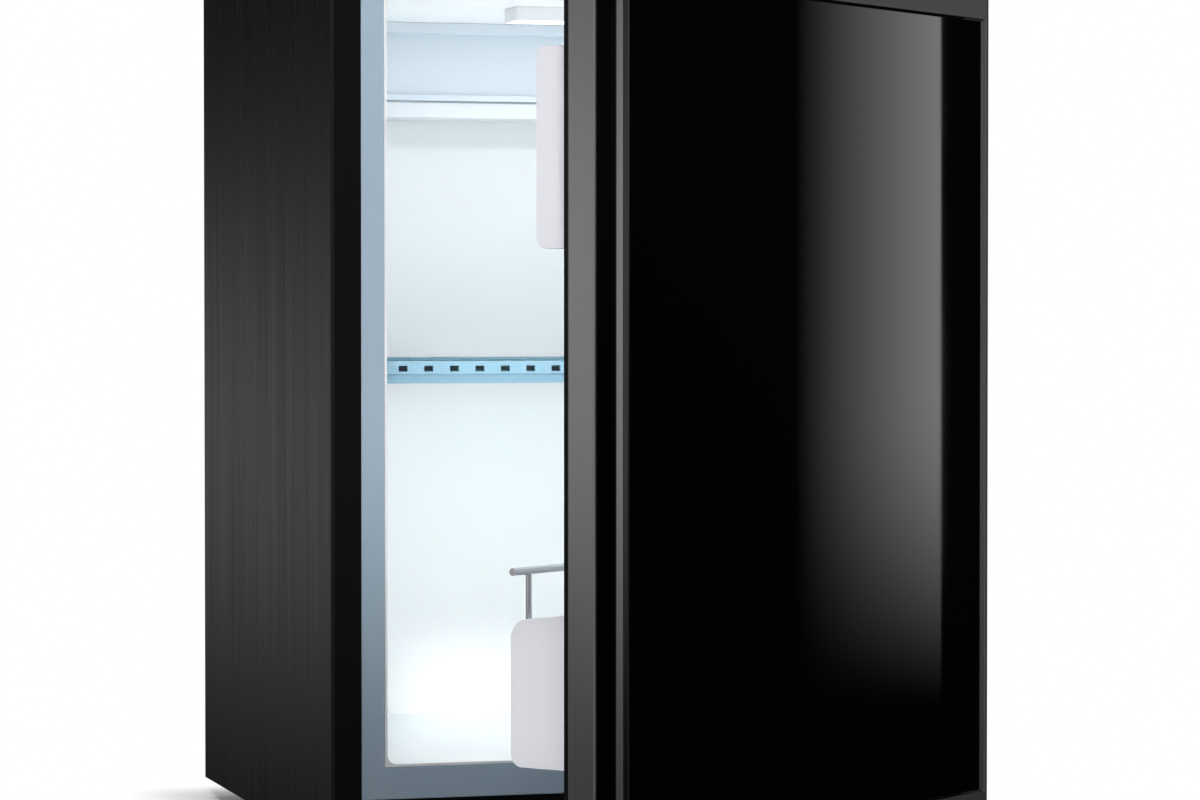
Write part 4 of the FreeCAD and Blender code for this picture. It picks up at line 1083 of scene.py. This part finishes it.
@dataclass
class Studio:
    """Camera, floor, cards and lamps, none of which is part of the fridge."""

    frame_width: float = 1200.0
    frame_height: float = 800.0
    focal_px: float = 3954.0
    sensor: float = 36.0
    eye: Colour = (-0.7330, -2.3898, 0.3381)
    yaw: float = 16.64
    pitch: float = 1.27
    clip: Pair = (0.05, 60.0)
    ambient: float = 0.46
    below: float = 0.25
    below_edge: float = 0.06
    card_x: float = 1.5
    strip_columns: Pair = (795.0, 941.0)
    strip_rows: Pair = (-150.0, 712.0)
    strip_fade_shares: Pair = (0.62, 1.0)
    strip_power: float = 1.2
    strip_glow: float = 1.9
    black_behind: float = 0.06
    black_reach: float = 1.1
    shaded: tuple[ShadedCard, ...] = (
        ShadedCard("side_card", -0.6, (-0.22, 14.0), (3.5, -2.5), (0.468, 0.556), (0.56, 0.622), 0.04, 0.27),
        ShadedCard("edge_card", -0.35, (-1.2, -0.24), (0.9, -0.3), (0.14, 0.46), (0.5, 0.71), 0.1, 0.9),
    )
    floor_reach: float = 14.0
    floor_drop: float = 0.4 * MM
    floor_grey: float = 0.7
    shade_reach: float = 0.06
    shade_front: float = 0.3
    shade_white: float = 0.1
    outside: tuple[Lamp, ...] = (
        Lamp("key", (-0.35, -0.85, 1.05), (-0.1, 0, 0.357), (0.8, 0.4), 0.75, 12.0),
        Lamp("fill", (1.8, -2.4, 1.5), (0, 0, 0.3), (1.8, 1.8), 15.0),
        Lamp("rear", (0.5, 2.6, 1.8), (0, 0, 0.3), (1.8, 1.8), 22.0),
    )
    ceiling_power: float = 0.18
    ceiling_gap: float = 2.0 * MM
    shelf_power: float = 0.085
    shelf_gap: float = 12.0 * MM
    shelf_spread: float = 90.0
    mouth_power: float = 0.42
    lamp_margin: float = 0.06
    low_power: float = 0.25
    low_inset: float = 0.03
    low_level_share: float = 0.72
    low_tall_share: float = 0.4
    low_reach: float = 1.0
    low_tilt: float = 0.5
    bin_power: float = 0.0118
    bin_size: Pair = (0.08, 0.12)
    bin_away: float = 0.15
    bin_spread: float = 30.0
    bin_skin: float = 1.0 * MM

    def camera(self) -> None:
        """The camera at the photograph's place."""
        data = bpy.data.cameras.new("camera")
        data.sensor_width = self.sensor
        data.lens = self.focal_px / self.frame_width * self.sensor
        data.clip_start, data.clip_end = self.clip
        made = bpy.data.objects.new("camera", data)
        made.location = self.eye
        made.rotation_euler = (math.radians(90 - self.pitch), 0.0, math.radians(-self.yaw))
        bpy.context.scene.collection.objects.link(made)
        bpy.context.scene.camera = made

    def seen_in_glass(self, column: float, row: float) -> Vector:
        """Where the door glass mirrors a place of the picture, on the card's plane.

        Args:
            column: The place's column in the picture.
            row: Its row.

        Returns:
            The point on the card's plane.
        """
        view = bpy.context.scene.camera.matrix_basis
        ray = view.to_3x3() @ Vector((
            column - self.frame_width / 2, self.frame_height / 2 - row, -self.focal_px)).normalized()
        normal = Vector((math.sin(DOOR_TURN), -math.cos(DOOR_TURN), 0))
        face = max(vert.co.dot(normal) for vert in frame["nodes"]["door_glass"].data.vertices)
        eye = view.translation
        hit = eye + ray * ((face - eye.dot(normal)) / ray.dot(normal))
        bounce = ray - normal * (2 * ray.dot(normal))
        return hit + bounce * ((self.card_x - hit.x) / bounce.x)

    def sheet(self, name: str, corners: Sequence) -> tuple[bpy.types.Object, Tree]:
        """A flat piece of the stage with an empty material.

        Args:
            name: Its name.
            corners: Its corners, in order round it.

        Returns:
            The piece and its material's tree.
        """
        mesh = bpy.data.meshes.new(name)
        mesh.from_pydata([tuple(corner) for corner in corners], [], [(0, 1, 2, 3)])
        made = bpy.data.objects.new(name, mesh)
        bpy.context.scene.collection.objects.link(made)
        material = bpy.data.materials.new(name)
        material.use_nodes = True
        material.node_tree.nodes.clear()
        mesh.materials.append(material)
        return made, Tree(material.node_tree)

    def card(self, name: str, corners: Sequence[Vector]) -> tuple[Tree, bpy.types.Node]:
        """A black card that only shows in shiny surfaces.

        Args:
            name: Its name.
            corners: Its corners: top left, top right, bottom right and bottom left.

        Returns:
            The tree of its material, and its emission node.
        """
        made, tree = self.sheet(name, corners)
        layer = made.data.uv_layers.new(name="card")
        for loop, place in zip(layer.data, corners_of((0, 1), (0, 1))):
            loop.uv = place
        for ray in ("camera", "diffuse", "transmission", "volume_scatter", "shadow"):
            setattr(made, "visible_" + ray, False)
        glow = tree.node("ShaderNodeEmission", {"Color": BLACK, "Strength": 1.0})
        tree.node("ShaderNodeOutputMaterial", {"Surface": glow.outputs[0]})
        return tree, glow

    def across_and_down(self, tree: Tree) -> tuple[Signal, Signal]:
        """How far across and how far down a card a place is, from 0 to 1."""
        parts = tree.node("ShaderNodeSeparateXYZ", {0: tree.node("ShaderNodeTexCoord").outputs["UV"]})
        return Signal(tree, parts.outputs[0]), Signal(tree, parts.outputs[1])

    def lit(self, tree: Tree, glow: bpy.types.Node, level: Signal, strength: float) -> None:
        """Make a card glow by a level, up to a strength."""
        tree.feed(glow.inputs["Color"], tree.blend(level, BLACK[:3], WHITE[:3]))
        tree.feed(glow.inputs["Strength"], strength)

    def cards(self) -> None:
        """A strip light before a black card for the glass, and shaded cards for the side and the edge."""
        spots = corners_of(self.strip_columns, self.strip_rows)
        corners = [self.seen_in_glass(*spot) for spot in spots]
        tree, glow = self.card("strip_card", corners)
        across, down = self.across_and_down(tree)
        fade = 1 - tree.slope(down, *self.strip_fade_shares)
        self.lit(tree, glow, across ** self.strip_power * fade, self.strip_glow)
        middle = sum(corners, Vector()) / len(corners) + RIGHT * self.black_behind
        reach = self.black_reach
        spots = corners_of((-reach, reach), (reach, -reach))
        self.card("black_card", [middle + Vector((0, y, z)) for y, z in spots])
        for card in self.shaded:
            tree, glow = self.card(card.name, card.corners())
            down = self.across_and_down(tree)[1]
            band = tree.slope(down, *card.rise_shares) * (1 - tree.slope(down, *card.fall_shares))
            self.lit(tree, glow, band * (1 - card.dim) + card.dim, card.glow)

    def sky(self) -> None:
        """White where it is looked at, and a plain grey light elsewhere."""
        world = bpy.data.worlds.new("studio")
        bpy.context.scene.world = world
        world.use_nodes = True
        world.node_tree.nodes.clear()
        tree = Tree(world.node_tree)
        light, white, low = [
            tree.node("ShaderNodeBackground", {"Color": WHITE, "Strength": strength}).outputs[0]
            for strength in (self.ambient, 1.0, self.below)]
        where = tree.node("ShaderNodeTexCoord")
        height = tree.node("ShaderNodeSeparateXYZ", {0: where.outputs["Generated"]}).outputs[2]
        down = 1 - tree.slope(Signal(tree, height), -self.below_edge, self.below_edge)
        path = tree.node("ShaderNodeLightPath")
        mirrored = Signal(tree, path.outputs["Is Glossy Ray"])
        seen = tree.node("ShaderNodeMixShader", {0: mirrored * down, 1: white, 2: low})
        mix = tree.node("ShaderNodeMixShader", {
            0: self.looked_at(tree), 1: light, 2: seen.outputs[0]})
        tree.node("ShaderNodeOutputWorld", {"Surface": mix.outputs[0]})

    def looked_at(self, tree: Tree) -> Signal:
        """1 where the camera, a mirror or a glass looks, and 0 elsewhere."""
        rays = tree.node("ShaderNodeLightPath").outputs
        return sum(Signal(tree, rays["Is %s Ray" % kind]) for kind in ("Camera", "Glossy", "Transmission"))

    def beside(self, tree: Tree) -> Signal:
        """How far a place on the floor is from the cabinet and the ground before it.

        Args:
            tree: The floor's tree.

        Returns:
            The distance in metres, 0 under the cabinet and in front of it.
        """
        low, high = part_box("cabinet_wrap")
        low.y -= self.shade_front
        middle = (low + high) / 2
        half = (high - low) / 2
        nothing = (0.0, 0.0, 0.0)
        place = tree.node("ShaderNodeTexCoord").outputs["Object"]
        for operation, other in (("SUBTRACT", (middle.x, middle.y, 0.0)), ("ABSOLUTE", nothing),
                                 ("SUBTRACT", (half.x, half.y, 0.0)), ("MAXIMUM", nothing)):
            step = tree.node("ShaderNodeVectorMath", {0: place, 1: other}, operation=operation)
            place = step.outputs[0]
        away = tree.node("ShaderNodeVectorMath", {0: place}, operation="LENGTH")
        return Signal(tree, away.outputs["Value"])

    def floor(self) -> None:
        """White floor with a shadow close to the cabinet."""
        half = self.floor_reach
        corners = [(x, y, 0) for x, y in corners_of((-half, half), (-half, half))]
        made, tree = self.sheet("floor", corners)
        made.location.z = -self.floor_drop
        made.visible_glossy = False
        matt = tree.node("ShaderNodeBsdfDiffuse", {"Color": (self.floor_grey,) * 3 + (1.0,)})
        white = tree.node("ShaderNodeEmission", {"Color": WHITE, "Strength": 1.0})
        far = tree.slope(self.beside(tree), 0.0, self.shade_reach)
        share = far * (1 - self.shade_white) + self.shade_white
        mix = tree.node("ShaderNodeMixShader", {
            0: self.looked_at(tree) * share, 1: matt.outputs[0], 2: white.outputs[0]})
        tree.node("ShaderNodeOutputMaterial", {"Surface": mix.outputs[0]})

    def lamps(self) -> None:
        """Soft lamps outside, and lamps for both compartments."""
        for lamp in self.outside:
            lamp.build()
        low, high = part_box("light_lens")
        place = Vector((*(low + high).xy / 2, low.z - self.ceiling_gap))
        Lamp("inside", place, place + DOWN, (high - low).xy, self.ceiling_power).build()
        margin = Vector((self.lamp_margin, self.lamp_margin))
        shelf_low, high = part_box("shelf_glass")
        place = Vector((*(shelf_low + high).xy / 2, high.z + self.shelf_gap))
        size = (high - shelf_low).xy - margin
        Lamp("inside_up", place, place + UP, size, self.shelf_power, self.shelf_spread).build()
        low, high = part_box("breaker_strip")
        middle = (low + high) / 2
        size = (high - low).xz - margin
        tall = shelf_low.z - low.z
        level = low.z + tall * self.low_level_share
        place = Vector((middle.x, low.y + self.low_inset, level))
        aim = (middle.x, high.y + self.low_reach, level + self.low_tilt)
        Lamp("inside_low", place, aim, (size.x, tall * self.low_tall_share), self.low_power).build()
        place = Vector((middle.x, low.y, middle.z))
        Lamp("mouth", place, place + REAR, size, self.mouth_power).build()

    def bin_lamp(self) -> None:
        """A small lamp before the end wall of the lower bin."""
        outward = Vector((-math.cos(DOOR_TURN), -math.sin(DOOR_TURN), 0))
        points = [vert.co for vert in frame["nodes"]["lower_bin"].data.vertices]
        reach = max(point.dot(outward) for point in points)
        wall = [point for point in points if reach - point.dot(outward) < self.bin_skin]
        aim = sum(wall, Vector()) / len(wall)
        place = aim + outward * self.bin_away
        Lamp("bin", place, aim, self.bin_size, self.bin_power, self.bin_spread).build()

    def build(self) -> None:
        """Set the studio up."""
        bpy.context.scene.view_settings.view_transform = "Standard"
        self.camera()
        self.sky()
        self.floor()
        self.cards()
        self.lamps()
        self.bin_lamp()


def main() -> None:
    """Dress the fridge and set up the studio."""
    logging.basicConfig(level=logging.INFO)
    for assembly in (Studio(), Carcass(), Interior(), Door(), CoolingUnit(), Fasteners()):
        assembly.build()
        LOG.info("built %s", type(assembly).__name__)


if __name__ == "__main__":
    main()
